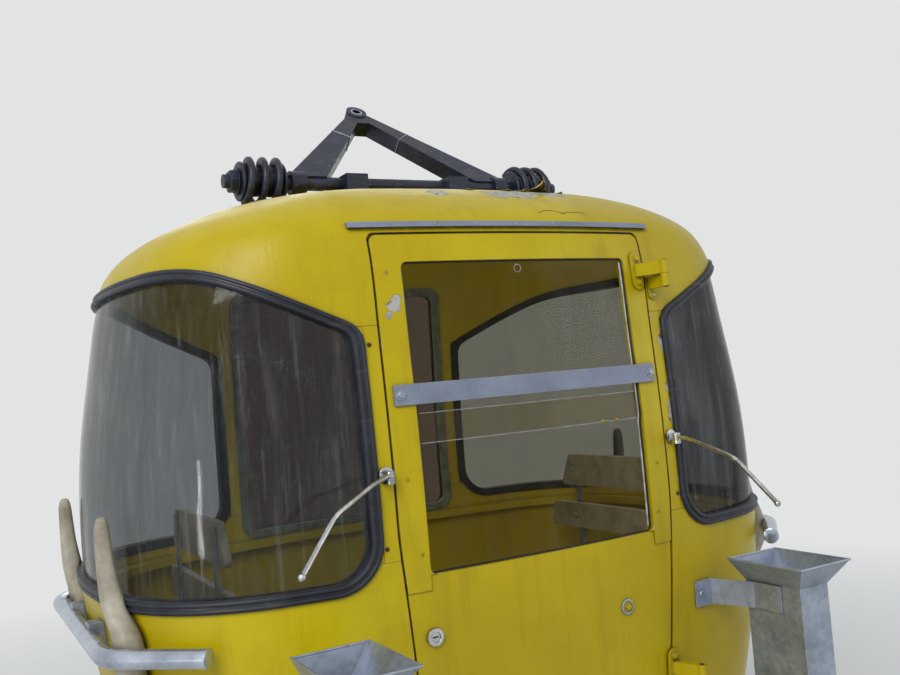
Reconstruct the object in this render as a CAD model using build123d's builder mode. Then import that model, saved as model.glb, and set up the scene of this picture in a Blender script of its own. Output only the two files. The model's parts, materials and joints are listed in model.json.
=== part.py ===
from build123d import *
from math import cos, hypot, radians, sin, sqrt
import os

# Cable car cabin, millimetres. The model is built about the cabin's own centre line:
# X along the cabin, Y away from the door side, Z up from the window belt datum.
# The finished pieces are moved so that the origin is the hanger eye's centre.

# Body shape
half_length = 867
half_width = 567
widest_level = -238
side_arc = 3200
end_arc = 1250
corner_arc = 330
length_taper_up = 0.000246
length_taper_down = 0.000300
width_taper_up = 0.000086
width_taper_down = 0.000116
wall = 25

# Roof dome and floor turn-in
dome_level = 350
dome_rise = 180
dome_run_x = 440
dome_run_y = 279
sole_level = -930
sole_drop = 130
sole_run = 105
dome_steps = (15, 32, 50, 68, 80, 90)
sole_steps = (30, 60, 90)
wall_levels = (-750, -500, widest_level, 0, 200)

# Half sizes of the blocks that cut pieces out of the whole cabin, and how far feet reach into its wall
outside_x = 1100
outside_y = 700
outside_top = 900
outside_low = -1200
root = 20

# Panel seams
roof_seam = 193
lower_seam = -277
seam_gap = 0.4

# Door and its opening
door_half = 350
door_top = 380
door_bottom = -975
door_foot_half = 296
door_gap = 5
door_corner = 18
door_foot_corner = 70
door_flank_radius = 900
stile = 59
sill_level = -314
stile_foot = -345
skin_step = 2.5
glass_corner = 14
pane_overlap_low = -53
pane_overlap_high = 8
pane = 4
pane_depth = 8

# Flat bar across the door glass
bar_level = 49
bar_height = 42
bar_thick = 5
bar_half = 337
seat_gap = 0.3

# Lock and round cover on the lower skin
lock_x = -292
lock_z = -438
lock_radius = 19
lock_mouth_radius = 11
lock_mouth_depth = 3
keyhole = (14, 3)
keyhole_depth = 8
cover_x = 192
cover_z = -468
cover_radius = 15
boss_proud = 7
boss_root = 4

# Hinges, level between the door's knuckle and the body's knuckle below it
hinge_levels = (275, -652)
pin_x = 353
pin_y = -600
pin_radius = 5
knuckle_radius = 11
knuckle_height = 30
pin_clearance = 0.08
knuckle_gap = 0.5
arm_thick = 14
strap_plate_x = 328
strap_plate_size = (90, 34)
bracket_plate_x = 371
bracket_plate_size = (54, 24)

# Windows at the ends
gasket_x = 386
gasket_bottom = -329
gasket_top = 340
gasket_low_corner = 100
gasket_shoulder_x = 700
gasket_shoulder_z = 190
gasket_high_corner = 55
gasket_roll = 260
gasket_band = 24
gasket_proud = 5
gasket_lap = 3

# Window on the far side
far_half = 352
far_bottom = -350
far_top = 372
far_corner = 40
far_band = 22

# Rail over the door
rail_level = 402
rail_height = 12
rail_proud = 10
rail_half = 391

# Inside
ledge_top = -354
ledge_height = 22
ledge_depth = 34
ledge_clear = 30
floor_thick = 18
floor_margin = 0.3
seat_back_x = 600
seat_back_thick = 18
# Slats of the bench back: lower edge, upper edge, half width at each
back_slats = ((-290, -195, 237, 190), (-421, -345, 308, 280))
slat_corner = 12
bench_level = -620
bench_half = 300
bench_slats = (340, 435, 530)
bench_slat_width = 80
frame_y = 175
frame_bar = 26
frame_back = 6
frame_inset = 12
leg_inset = 20

# Ski holders beside the door
boss_x = 370
boss_level = -104
boss_radius = 9
arm_pin_radius = 4
arm_eye_height = 14
boss_height = 10
arm_pin_y = -568
arm_radius = 5
arm_disc_radius = 15
arm_disc_thick = 6
arm_points = ((0, 0, 0), (0, -60, -10), (0, -180, -48), (0, -285, -136))
arm_bend = 90
arm_knob = 7
left_arm_turn = 60
box_x = 545
box_y = -692
box_wide = 88
box_deep = 158
box_sheet = 3
box_top = -454
box_bottom = -850
lip_top = -398
lip_door_side = 45
lip_far_side = 25
lip_front = 50
lip_back = 10
bracket_levels = (-485, -760)
bracket_height = 60
bracket_sheet = 4
bracket_foot_x = 412
bracket_bend_x = 462

# Bumpers
tube_level = -400
tube_radius = 19
tube_x = 885
tube_straight = 338
tube_end_x = 728
tube_end_y = 488
tube_bend = 95
horn_gap = 1
# Horns: level, centre outwards, centre across, size outwards, size across, corner radius
horn_sections = (
    (-142, 866, 270, 14, 14, 6),
    (-172, 866, 270, 30, 28, 12),
    (-245, 863, 271, 36, 34, 15),
    (-310, 855, 279, 46, 50, 20),
    (-375, 838, 303, 58, 98, 26),
    (-440, 836, 303, 62, 98, 26),
    (-520, 815, 290, 40, 50, 18),
)
stay_y = 120
stay_width = 44
stay_reach = 120
stay_height = 60

# Underframe
runner_y = 260
runner_length = 900
runner_height = 55
runner_width = 60
cross_x = 300
cross_width = 60
cross_height = 38

# Roof gear and hanger
shaft_level = 600
shaft_radius = 17
shaft_half = 490
saddle_x = 150
saddle_width = 60
saddle_deep = 90
saddle_high = 120
saddle_top = 620
coil_radius = 54
coil_wire = 9
coil_places = (352, 396, 440)
drum_radius = 46
drum_half = 56
yoke_x = 300
yoke_bush_radius = 30
yoke_bush_width = 40
leg_foot_out = 26
leg_foot_in = 78
leg_top_out = 18
leg_crotch = 62
leg_thick = 44
eye_back = 273
eye_rise = 857
eye_radius = 30
eye_bore = 12
eye_width = 50


def plan_radii(a, b):
    """Radii of the side, end and corner arcs for half length a and half width b."""
    k = b / half_width
    return side_arc * k, end_arc * a / half_length, corner_arc * k


def oval(a, b):
    """Closed plan outline of the cabin: four long arcs joined by four tangent corner arcs."""
    r_side, r_end, r_corner = plan_radii(a, b)
    side_y = b - r_side
    end_x = a - r_end
    reach_side = r_side - r_corner
    reach_end = r_end - r_corner
    span = hypot(end_x, side_y)
    along = (reach_side**2 - reach_end**2 + span**2) / (2 * span)
    across = sqrt(reach_side**2 - along**2)
    ux = end_x / span
    uy = -side_y / span
    options = [
        (along * ux - s * across * uy, side_y + along * uy + s * across * ux)
        for s in (1, -1)
    ]
    cx, cy = max(options, key=lambda c: c[0] + c[1])
    side_end = (cx * r_side / reach_side, side_y + (cy - side_y) * r_side / reach_side)
    end_end = (end_x + (cx - end_x) * r_end / reach_end, cy * r_end / reach_end)
    dx = (side_end[0] + end_end[0]) / 2 - cx
    dy = (side_end[1] + end_end[1]) / 2 - cy
    k = r_corner / hypot(dx, dy)
    middle = (cx + dx * k, cy + dy * k)
    with BuildSketch() as outline:
        with BuildLine():
            for s in (1, -1):
                ThreePointArc((-side_end[0], s * side_end[1]), (0, s * b), (side_end[0], s * side_end[1]))
                ThreePointArc((s * end_end[0], -end_end[1]), (s * a, 0), (s * end_end[0], end_end[1]))
                for t in (1, -1):
                    ThreePointArc(
                        (s * side_end[0], t * side_end[1]),
                        (s * middle[0], t * middle[1]),
                        (s * end_end[0], t * end_end[1]),
                    )
        make_face()
    return outline.sketch


def wall_size(z):
    """Half length and half width of the cabin's outer face at a level."""
    d = z - widest_level
    along = length_taper_up if d > 0 else length_taper_down
    across = width_taper_up if d > 0 else width_taper_down
    return half_length - along * d * d, half_width - across * d * d


def sections(grow):
    """Level, half length and half width of each section of the form, grown outwards."""
    turns = [(sole_level, -sole_drop, sole_run, sole_run, t) for t in reversed(sole_steps)]
    turns += [(z, 0, 0, 0, 0) for z in (sole_level,) + wall_levels + (dome_level,)]
    turns += [(dome_level, dome_rise, dome_run_x, dome_run_y, t) for t in dome_steps]
    rows = []
    for level, rise, run_x, run_y, t in turns:
        c = cos(radians(t))
        s = sin(radians(t))
        a, b = wall_size(level + rise * s)
        lift = grow * s if rise > 0 else -grow * s
        half_x = a - run_x * (1 - c) + grow * c
        half_y = b - run_y * (1 - c) + grow * c
        rows.append((level + rise * s + lift, half_x, half_y))
    return rows


def cabin_form(grow):
    """The cabin's whole outer form, grown or shrunk by an amount."""
    with BuildPart() as form:
        for z, a, b in sections(grow):
            with BuildSketch(Plane.XY.offset(z)):
                add(oval(a, b))
        loft()
    return form.part


def window_prism(points, radii, near=True, far=True):
    """Cutter for the walls: an outline seen from the door side, pushed through either wall."""
    with BuildPart() as cutter:
        with BuildSketch(Plane.XZ):
            with BuildLine():
                FilletPolyline(*points, radius=radii, close=True)
            make_face()
        extrude(amount=outside_x if near else -outside_x, both=near and far)
    return cutter.part


def slab(x0, x1, y0, y1, z0, z1):
    """Plain block between two corners."""
    with BuildPart() as block:
        with Locations(((x0 + x1) / 2, (y0 + y1) / 2, (z0 + z1) / 2)):
            Box(x1 - x0, y1 - y0, z1 - z0)
    return block.part


def layer(low, top):
    """Block across the whole cabin between two levels."""
    return slab(-outside_x, outside_x, -outside_y, outside_y, low, top)


def door_outline(grow):
    """Door outline, widest above the belt and narrowing to its foot, as points and radii."""
    points = (
        (-door_half - grow, door_top + grow),
        (door_half + grow, door_top + grow),
        (door_half + grow, widest_level),
        (door_foot_half + grow, door_bottom - grow),
        (-door_foot_half - grow, door_bottom - grow),
        (-door_half - grow, widest_level),
    )
    return points, (
        door_corner,
        door_corner,
        door_flank_radius,
        door_foot_corner,
        door_foot_corner,
        door_flank_radius,
    )


def end_window_outline(side, inset):
    """Outline of a wrap-round end window on one side, shrunk by an inset."""
    points = (
        (side * outside_x, gasket_bottom + inset),
        (side * (gasket_x + inset), gasket_bottom + inset),
        (side * (gasket_x + inset), gasket_shoulder_z - inset * 0.5),
        (side * gasket_shoulder_x, gasket_top - inset),
        (side * outside_x, gasket_top - inset),
    )
    edge = 1
    radii = (edge, gasket_low_corner - inset, gasket_high_corner - inset * 0.5, gasket_roll, edge)
    return points, radii


def rectangle_outline(half, low, top, radius):
    """Rectangle seen from the door side, as points and radii."""
    return ((-half, low), (half, low), (half, top), (-half, top)), (radius,) * 4


# Forms of the cabin at the depths that the pieces share
outer = cabin_form(0)
inner = cabin_form(-wall)
seat_form = cabin_form(seat_gap)
shell = outer - inner
pane_band = cabin_form(-pane_depth) - cabin_form(-pane_depth - pane)
gasket_form = cabin_form(gasket_proud) - cabin_form(-wall - gasket_lap)
strip_form = cabin_form(bar_thick + seat_gap)

# Cutters
door_hole = window_prism(*door_outline(door_gap), far=False)
door_cutter = window_prism(*door_outline(0), far=False)
far_hole = window_prism(*rectangle_outline(far_half, far_bottom, far_top, far_corner), near=False)
far_clear = window_prism(
    *rectangle_outline(
        far_half - far_band, far_bottom + far_band, far_top - far_band, far_corner - far_band / 2
    ),
    near=False,
)
window_holes = {s: window_prism(*end_window_outline(s, 0)) for s in (1, -1)}
window_clears = {s: window_prism(*end_window_outline(s, gasket_band)) for s in (1, -1)}
above_seam = layer(roof_seam + seam_gap / 2, outside_top)
between_seams = slab(
    -gasket_x, gasket_x, -outside_y, outside_y, lower_seam + seam_gap / 2, roof_seam - seam_gap / 2
)
below_seam = layer(outside_low, lower_seam - seam_gap / 2)
sides = ((1, "right"), (-1, "left"))
kept = []


def keep(name, builder_part):
    """Notes a finished piece under its name."""
    kept.append((name, builder_part))


# Roof shell and lower shell, with the door and windows cut
with BuildPart() as roof_shell:
    add(shell)
    add(above_seam, mode=Mode.INTERSECT)
    add(door_hole, mode=Mode.SUBTRACT)
    add(far_hole, mode=Mode.SUBTRACT)
    for s in (1, -1):
        add(window_holes[s], mode=Mode.SUBTRACT)
keep("roof_shell", roof_shell.part)

with BuildPart() as lower_shell:
    add(shell)
    add(below_seam, mode=Mode.INTERSECT)
    add(door_hole, mode=Mode.SUBTRACT)
    add(far_hole, mode=Mode.SUBTRACT)
    for s in (1, -1):
        add(window_holes[s], mode=Mode.SUBTRACT)
keep("lower_shell", lower_shell.part)

# Door posts, the four narrow panels between door, far window and end windows
with BuildPart() as wall_posts:
    add(shell)
    add(between_seams, mode=Mode.INTERSECT)
    add(door_hole, mode=Mode.SUBTRACT)
    add(far_hole, mode=Mode.SUBTRACT)
    for s in (1, -1):
        add(window_holes[s], mode=Mode.SUBTRACT)
keep("wall_posts", wall_posts.part)

# End windows and their rubber
for s, side in sides:
    half = slab(*sorted((0, s * outside_x)), -outside_y, outside_y, outside_low, outside_top)
    with BuildPart() as end_pane:
        add(pane_band)
        add(half, mode=Mode.INTERSECT)
        add(window_clears[s], mode=Mode.INTERSECT)
    keep(f"end_window_{side}", end_pane.part)
    with BuildPart() as gasket:
        add(gasket_form)
        add(half, mode=Mode.INTERSECT)
        add(window_holes[s], mode=Mode.INTERSECT)
        add(window_clears[s], mode=Mode.SUBTRACT)
    keep(f"window_gasket_{side}", gasket.part)

# Far side window
far_side = slab(-outside_x, outside_x, 0, outside_y, outside_low, outside_top)
with BuildPart() as far_frame:
    add(gasket_form)
    add(far_side, mode=Mode.INTERSECT)
    add(far_hole, mode=Mode.INTERSECT)
    add(far_clear, mode=Mode.SUBTRACT)
keep("far_window_frame", far_frame.part)
with BuildPart() as far_pane:
    add(pane_band)
    add(far_side, mode=Mode.INTERSECT)
    add(far_clear, mode=Mode.INTERSECT)
keep("far_window_pane", far_pane.part)

# Rain rail over the door
with BuildPart() as drip_rail:
    add(cabin_form(rail_proud) - seat_form)
    add(layer(rail_level - rail_height / 2, rail_level + rail_height / 2), mode=Mode.INTERSECT)
    add(slab(-rail_half, rail_half, -outside_y, 0, outside_low, outside_top), mode=Mode.INTERSECT)
keep("drip_rail", drip_rail.part)

# Door
near_side = slab(-outside_x, outside_x, -outside_y, 0, outside_low, outside_top)
glass_half = door_half - stile
glass_top = door_top - stile
glass_cutter = window_prism(*rectangle_outline(glass_half, sill_level, glass_top, glass_corner), far=False)
with BuildPart() as door_blank:
    add(shell)
    add(near_side, mode=Mode.INTERSECT)
    add(door_cutter, mode=Mode.INTERSECT)
with BuildPart() as door_frame:
    add(door_blank.part)
    add(slab(-outside_y, outside_y, -outside_y, 0, stile_foot, outside_top), mode=Mode.INTERSECT)
    add(slab(-glass_half, glass_half, -outside_y, 0, stile_foot - 1, sill_level), mode=Mode.SUBTRACT)
    add(glass_cutter, mode=Mode.SUBTRACT)
keep("door_frame", door_frame.part)
with BuildPart() as door_skin:
    add(door_blank.part)
    add(cabin_form(-skin_step), mode=Mode.INTERSECT)
    add(slab(-outside_y, outside_y, -outside_y, 0, outside_low, sill_level), mode=Mode.INTERSECT)
    add(slab(-outside_x, -glass_half, -outside_y, 0, stile_foot, outside_top), mode=Mode.SUBTRACT)
    add(slab(glass_half, outside_x, -outside_y, 0, stile_foot, outside_top), mode=Mode.SUBTRACT)
    add(glass_cutter, mode=Mode.SUBTRACT)
keep("door_skin", door_skin.part)

# Two overlapping door panes, name, lowest and highest level, depth behind the skin
pane_table = (
    ("door_pane_upper", pane_overlap_low, glass_top, pane_depth),
    ("door_pane_lower", sill_level, pane_overlap_high, pane_depth + pane + seat_gap),
)
for name, low, top, depth in pane_table:
    with BuildPart() as door_pane:
        add(cabin_form(-depth) - cabin_form(-depth - pane))
        add(slab(-glass_half, glass_half, -outside_y, 0, low, top), mode=Mode.INTERSECT)
        add(glass_cutter, mode=Mode.INTERSECT)
    keep(name, door_pane.part)

# Flat bar across the glass
with BuildPart() as door_bar:
    add(strip_form - seat_form)
    add(layer(bar_level - bar_height / 2, bar_level + bar_height / 2), mode=Mode.INTERSECT)
    add(slab(-bar_half, bar_half, -outside_y, 0, outside_low, outside_top), mode=Mode.INTERSECT)
keep("door_bar", door_bar.part)

# Lock barrel and round cover, turned pieces let into the lower skin
skin_form = cabin_form(-skin_step)


def wall_y(form, x, z):
    """Y of a form's near face at a place seen from the door side."""
    probe = Edge.make_line((x, -outside_y, z), (x, 0, z))
    inside = probe.intersect(form)
    pieces = inside if isinstance(inside, (list, ShapeList)) else [inside]
    return min(piece.bounding_box().min.Y for piece in pieces)


with BuildPart() as door_lock:
    y = wall_y(skin_form, lock_x, lock_z)
    with BuildSketch(Plane.XZ.offset(-y - boss_root)):
        with Locations((lock_x, lock_z)):
            Circle(lock_radius)
    extrude(amount=boss_proud + boss_root, taper=8)
    with BuildSketch(Plane.XZ.offset(-y + boss_proud)):
        with Locations((lock_x, lock_z)):
            Circle(lock_mouth_radius)
    extrude(amount=-lock_mouth_depth, mode=Mode.SUBTRACT)
    with BuildSketch(Plane.XZ.offset(-y + boss_proud)):
        with Locations((lock_x, lock_z)):
            SlotOverall(*keyhole)
    extrude(amount=-keyhole_depth, mode=Mode.SUBTRACT)
    add(cabin_form(-skin_step + seat_gap), mode=Mode.SUBTRACT)
keep("door_lock", door_lock.part)
with BuildPart() as door_cover:
    y = wall_y(skin_form, cover_x, cover_z)
    with BuildSketch(Plane.XZ.offset(-y - boss_root)):
        with Locations((cover_x, cover_z)):
            Circle(cover_radius)
    extrude(amount=boss_proud, taper=10)
    add(cabin_form(-skin_step + seat_gap), mode=Mode.SUBTRACT)
keep("door_cover", door_cover.part)

# Hinges: a plate with an eye on the door, a plate with a pin on the body below it
with BuildPart() as door_straps:
    for z in hinge_levels:
        low = z + knuckle_gap / 2
        y = wall_y(outer, strap_plate_x, z)
        with BuildSketch(Plane.XZ.offset(outside_y)):
            with Locations((strap_plate_x, low + knuckle_height / 2)):
                SlotOverall(*strap_plate_size, rotation=90)
        extrude(amount=-outside_y)
    add(strip_form, mode=Mode.INTERSECT)
    for z in hinge_levels:
        low = z + knuckle_gap / 2
        y = wall_y(outer, strap_plate_x, z)
        with BuildSketch(Plane.XY.offset(low)):
            with BuildLine():
                Polyline(
                    (strap_plate_x - arm_thick / 2, y + root),
                    (strap_plate_x - arm_thick / 2, y - arm_thick / 2),
                    (pin_x - arm_thick / 2, pin_y - arm_thick / 2),
                    (pin_x + arm_thick / 2, pin_y + arm_thick / 2),
                    (strap_plate_x + arm_thick, y + root),
                    close=True,
                )
            make_face()
            with Locations((pin_x, pin_y)):
                Circle(knuckle_radius)
        extrude(amount=knuckle_height)
        with BuildSketch(Plane.XY.offset(low)):
            with Locations((pin_x, pin_y)):
                Circle(pin_radius + pin_clearance)
        extrude(amount=knuckle_height, mode=Mode.SUBTRACT)
    add(seat_form, mode=Mode.SUBTRACT)
keep("door_hinge_straps", door_straps.part)
with BuildPart() as hinge_brackets:
    for z in hinge_levels:
        with BuildSketch(Plane.XZ.offset(outside_y)):
            with Locations((bracket_plate_x, z - bracket_plate_size[0] / 2)):
                SlotOverall(*bracket_plate_size, rotation=90)
        extrude(amount=-outside_y)
    add(strip_form, mode=Mode.INTERSECT)
    for z in hinge_levels:
        top = z - knuckle_gap / 2
        y = wall_y(outer, bracket_plate_x, z)
        with BuildSketch(Plane.XY.offset(top - knuckle_height)):
            with BuildLine():
                Polyline(
                    (pin_x - arm_thick / 2, pin_y),
                    (bracket_plate_x - arm_thick / 2, y + root),
                    (bracket_plate_x + arm_thick / 2, y + root),
                    (pin_x + arm_thick / 2, pin_y),
                    close=True,
                )
            make_face()
            with Locations((pin_x, pin_y)):
                Circle(knuckle_radius)
        extrude(amount=knuckle_height)
        with BuildSketch(Plane.XY.offset(top)):
            with Locations((pin_x, pin_y)):
                Circle(pin_radius)
        extrude(amount=knuckle_height + 2 * knuckle_gap)
    add(seat_form, mode=Mode.SUBTRACT)
keep("hinge_brackets", hinge_brackets.part)

# Floor, belt ledge and ribs
with BuildPart() as floor_deck:
    add(cabin_form(-wall - floor_margin))
    add(layer(sole_level, sole_level + floor_thick), mode=Mode.INTERSECT)
keep("floor_deck", floor_deck.part)
with BuildPart() as belt_ledge:
    add(cabin_form(-wall - seat_gap) - cabin_form(-wall - ledge_depth))
    add(layer(ledge_top - ledge_height, ledge_top), mode=Mode.INTERSECT)
    way_half = door_half + ledge_clear
    door_way = slab(-way_half, way_half, -outside_y, 0, outside_low, outside_top)
    add(door_way, mode=Mode.SUBTRACT)
keep("belt_ledge", belt_ledge.part)

# Benches: slatted back and seat on bent strip frames
for s, side in sides:
    with BuildPart() as seat_back:
        for low, top, low_half, top_half in back_slats:
            with BuildSketch(Plane.YZ.offset(s * (seat_back_x + seat_back_thick / 2))):
                with BuildLine():
                    Polyline(
                        (-low_half, low),
                        (low_half, low),
                        (top_half, top),
                        (-top_half, top),
                        close=True,
                    )
                make_face()
            extrude(amount=seat_back_thick / 2, both=True)
        fillet(seat_back.edges().filter_by(Axis.X), slat_corner)
    keep(f"seat_back_{side}", seat_back.part)
    with BuildPart() as bench:
        for x in bench_slats:
            with Locations((s * x, 0, bench_level - seat_back_thick / 2)):
                Box(bench_slat_width, 2 * bench_half, seat_back_thick)
        fillet(bench.edges().filter_by(Axis.Z), slat_corner)
    keep(f"seat_bench_{side}", bench.part)
    with BuildPart() as seat_frame:
        back_face = seat_back_x + seat_back_thick
        under = bench_level - seat_back_thick
        strip_low = under - frame_back
        strip_top = back_slats[0][1] - frame_inset
        deck_top = sole_level + floor_thick
        front = bench_slats[0] - bench_slat_width / 2 + frame_inset
        for t in (1, -1):
            with BuildSketch(Plane.XZ.offset(-t * frame_y - frame_bar / 2)):
                with BuildLine():
                    Polyline(
                        (s * back_face, strip_top),
                        (s * back_face, under),
                        (s * front, under),
                        (s * front, deck_top),
                        (s * (front + frame_back), deck_top),
                        (s * (front + frame_back), strip_low),
                        (s * (back_face + frame_back), strip_low),
                        (s * (back_face + frame_back), strip_top),
                        close=True,
                    )
                make_face()
            extrude(amount=frame_bar)
            with Locations((s * (back_face - leg_inset), t * frame_y, (strip_low + deck_top) / 2)):
                Box(frame_back, frame_bar, strip_low - deck_top)
        with Locations((s * (front + frame_back / 2), 0, under - frame_bar)):
            Box(frame_back, 2 * frame_y, frame_bar)
    keep(f"seat_frame_{side}", seat_frame.part)

# Ski retaining arms on their bosses, each boss a round plate with a lug and an upright pin
with BuildPart() as arm_bosses:
    for s in (1, -1):
        with BuildSketch(Plane.XZ.offset(outside_y)):
            with Locations((s * boss_x, boss_level)):
                Circle(arm_disc_radius)
        extrude(amount=-outside_y)
    add(cabin_form(arm_disc_thick + seat_gap), mode=Mode.INTERSECT)
    boss_low = boss_level - arm_eye_height / 2 - knuckle_gap - boss_height
    for s in (1, -1):
        y = wall_y(outer, s * boss_x, boss_level)
        with BuildSketch(Plane.XY.offset(boss_low)):
            with Locations((s * boss_x, arm_pin_y)):
                Circle(boss_radius)
            with Locations((s * boss_x, (arm_pin_y + y + root) / 2)):
                Rectangle(2 * boss_radius, y + root - arm_pin_y)
        extrude(amount=boss_height)
        with BuildSketch(Plane.XY.offset(boss_low)):
            with Locations((s * boss_x, arm_pin_y)):
                Circle(arm_pin_radius)
        extrude(amount=boss_height + knuckle_gap + arm_eye_height + 2 * knuckle_gap)
    add(seat_form, mode=Mode.SUBTRACT)
keep("arm_bosses", arm_bosses.part)
arm_pivot = Vector(boss_x, arm_pin_y, boss_level)
with BuildPart() as ski_arm:
    with BuildLine() as centre:
        FilletPolyline(*(arm_pivot + Vector(*point) for point in arm_points), radius=arm_bend)
    with BuildSketch(Plane(centre.line @ 0, z_dir=centre.line % 0)):
        Circle(arm_radius)
    sweep()
    with Locations(arm_pivot + Vector(*arm_points[-1])):
        Sphere(arm_knob)
    with BuildSketch(Plane.XY.offset(boss_level - arm_eye_height / 2)):
        with Locations((boss_x, arm_pin_y)):
            Circle(boss_radius)
    extrude(amount=arm_eye_height)
    with BuildSketch(Plane.XY.offset(boss_level)):
        with Locations((boss_x, arm_pin_y)):
            Circle(arm_pin_radius + pin_clearance)
    extrude(amount=arm_eye_height, both=True, mode=Mode.SUBTRACT)
keep("ski_arm_right", ski_arm.part)
left_pin = Axis((-boss_x, arm_pin_y, 0), (0, 0, 1))
keep("ski_arm_left", mirror(ski_arm.part, about=Plane.YZ).rotate(left_pin, -left_arm_turn))

# Ski boxes, folded sheet with a flared mouth
for s, side in sides:
    low_x = box_x - box_wide / 2
    high_x = box_x + box_wide / 2
    back_y = box_y + box_deep / 2
    front_y = box_y - box_deep / 2
    with BuildPart() as ski_box:
        for grow, mode in ((0, Mode.ADD), (-box_sheet, Mode.SUBTRACT)):
            with BuildSketch(Plane.XY.offset(box_bottom - grow)):
                with Locations((s * box_x, box_y)):
                    Rectangle(box_wide + 2 * grow, box_deep + 2 * grow)
            extrude(amount=box_top - box_bottom + grow, mode=mode)
            with BuildSketch(Plane.XY.offset(box_top)):
                with Locations((s * box_x, box_y)):
                    Rectangle(box_wide + 2 * grow, box_deep + 2 * grow)
            with BuildSketch(Plane.XY.offset(lip_top)):
                with Locations(
                    (
                        s * (box_x + (lip_far_side - lip_door_side) / 2),
                        box_y + (lip_back - lip_front) / 2,
                    )
                ):
                    Rectangle(
                        box_wide + lip_door_side + lip_far_side + 2 * grow,
                        box_deep + lip_back + lip_front + 2 * grow,
                    )
            loft(mode=mode)
    keep(f"ski_box_{side}", ski_box.part)

# Bent sheet brackets that carry the ski boxes
with BuildPart() as box_brackets:
    for s in (1, -1):
        face_x = box_x - box_wide / 2
        for z in bracket_levels:
            y = wall_y(outer, s * bracket_foot_x, z)
            y_bend = wall_y(outer, s * bracket_bend_x, z)
            with BuildSketch(Plane.XY.offset(z - bracket_height / 2)):
                with BuildLine():
                    Polyline(
                        (s * bracket_foot_x, y + root),
                        (s * bracket_foot_x, y - bracket_sheet),
                        (s * bracket_bend_x, y_bend - 3 * bracket_sheet),
                        (s * (face_x - bracket_sheet), box_y + box_deep / 3),
                        (s * (face_x - bracket_sheet), box_y - box_deep / 6),
                        (s * face_x, box_y - box_deep / 6),
                        (s * face_x, box_y + box_deep / 3),
                        (s * (bracket_bend_x + bracket_sheet), y_bend - 3 * bracket_sheet),
                        (s * (bracket_bend_x + bracket_sheet), y_bend + root),
                        close=True,
                    )
                make_face()
            extrude(amount=bracket_height)
    add(seat_form, mode=Mode.SUBTRACT)
keep("ski_box_brackets", box_brackets.part)

# Bumper tubes, their stays and the upright horns
with BuildPart() as gasket_room:
    add(cabin_form(gasket_proud + horn_gap))
    add(layer(gasket_bottom - horn_gap, outside_top), mode=Mode.INTERSECT)
gasket_clear = gasket_room.part
for s, side in sides:
    with BuildPart() as bumper:
        with BuildLine() as centre:
            FilletPolyline(
                (s * tube_end_x, -tube_end_y, tube_level),
                (s * tube_x, -tube_straight, tube_level),
                (s * tube_x, tube_straight, tube_level),
                (s * tube_end_x, tube_end_y, tube_level),
                radius=tube_bend,
            )
        with BuildSketch(Plane(centre.line @ 0, z_dir=centre.line % 0)):
            Circle(tube_radius)
        sweep()
    keep(f"bumper_tube_{side}", bumper.part)
    with BuildPart() as stays:
        for t in (1, -1):
            with Locations((s * (tube_x - stay_reach / 2), t * stay_y, tube_level)):
                Box(stay_reach, stay_width, stay_height)
        add(seat_form, mode=Mode.SUBTRACT)
        add(bumper.part, mode=Mode.SUBTRACT)
        past_tube = sorted((s * tube_x, s * outside_x))
        add(slab(*past_tube, -outside_y, outside_y, outside_low, outside_top), mode=Mode.SUBTRACT)
    keep(f"bumper_stays_{side}", stays.part)
    with BuildPart() as horns:
        for t in (1, -1):
            for z, x, y, out, across, corner in horn_sections:
                with BuildSketch(Plane.XY.offset(z)):
                    with Locations((s * x, t * y)):
                        RectangleRounded(out, across, corner)
            loft()
        add(seat_form, mode=Mode.SUBTRACT)
        add(gasket_clear, mode=Mode.SUBTRACT)
        add(bumper.part, mode=Mode.SUBTRACT)
    keep(f"fender_horns_{side}", horns.part)

# Underframe that the cabin is set down on
with BuildPart() as underframe:
    sole = sole_level - sole_drop
    for t in (1, -1):
        with Locations((0, t * runner_y, sole - runner_height / 2)):
            Box(runner_length, runner_width, runner_height)
    for t in (1, -1):
        with Locations((t * cross_x, 0, sole - runner_height / 2)):
            Box(cross_width, 2 * runner_y, cross_height)
keep("underframe", underframe.part)

# Roof shaft on its saddles, with a coil set at each end
with BuildPart() as roof_shaft:
    with BuildSketch(Plane.YZ.offset(-shaft_half)):
        with Locations((0, shaft_level)):
            Circle(shaft_radius)
    extrude(amount=2 * shaft_half)
keep("roof_shaft", roof_shaft.part)
with BuildPart() as saddles:
    for t in (1, -1):
        with Locations((t * saddle_x, 0, saddle_top - saddle_high / 2)):
            Box(saddle_width, saddle_deep, saddle_high)
    add(seat_form, mode=Mode.SUBTRACT)
    add(roof_shaft.part, mode=Mode.SUBTRACT)
keep("shaft_saddles", saddles.part)
for s, side in sides:
    with BuildPart() as coil:
        for x in coil_places:
            with BuildSketch(Plane.XZ):
                with Locations((s * x, shaft_level + coil_radius)):
                    Circle(coil_wire)
            revolve(axis=Axis((0, 0, shaft_level), (1, 0, 0)))
        with BuildSketch(Plane.YZ.offset(s * coil_places[1])):
            with Locations((0, shaft_level)):
                Circle(drum_radius)
                Circle(shaft_radius, mode=Mode.SUBTRACT)
        extrude(amount=drum_half, both=True)
    keep(f"coil_set_{side}", coil.part)

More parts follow.
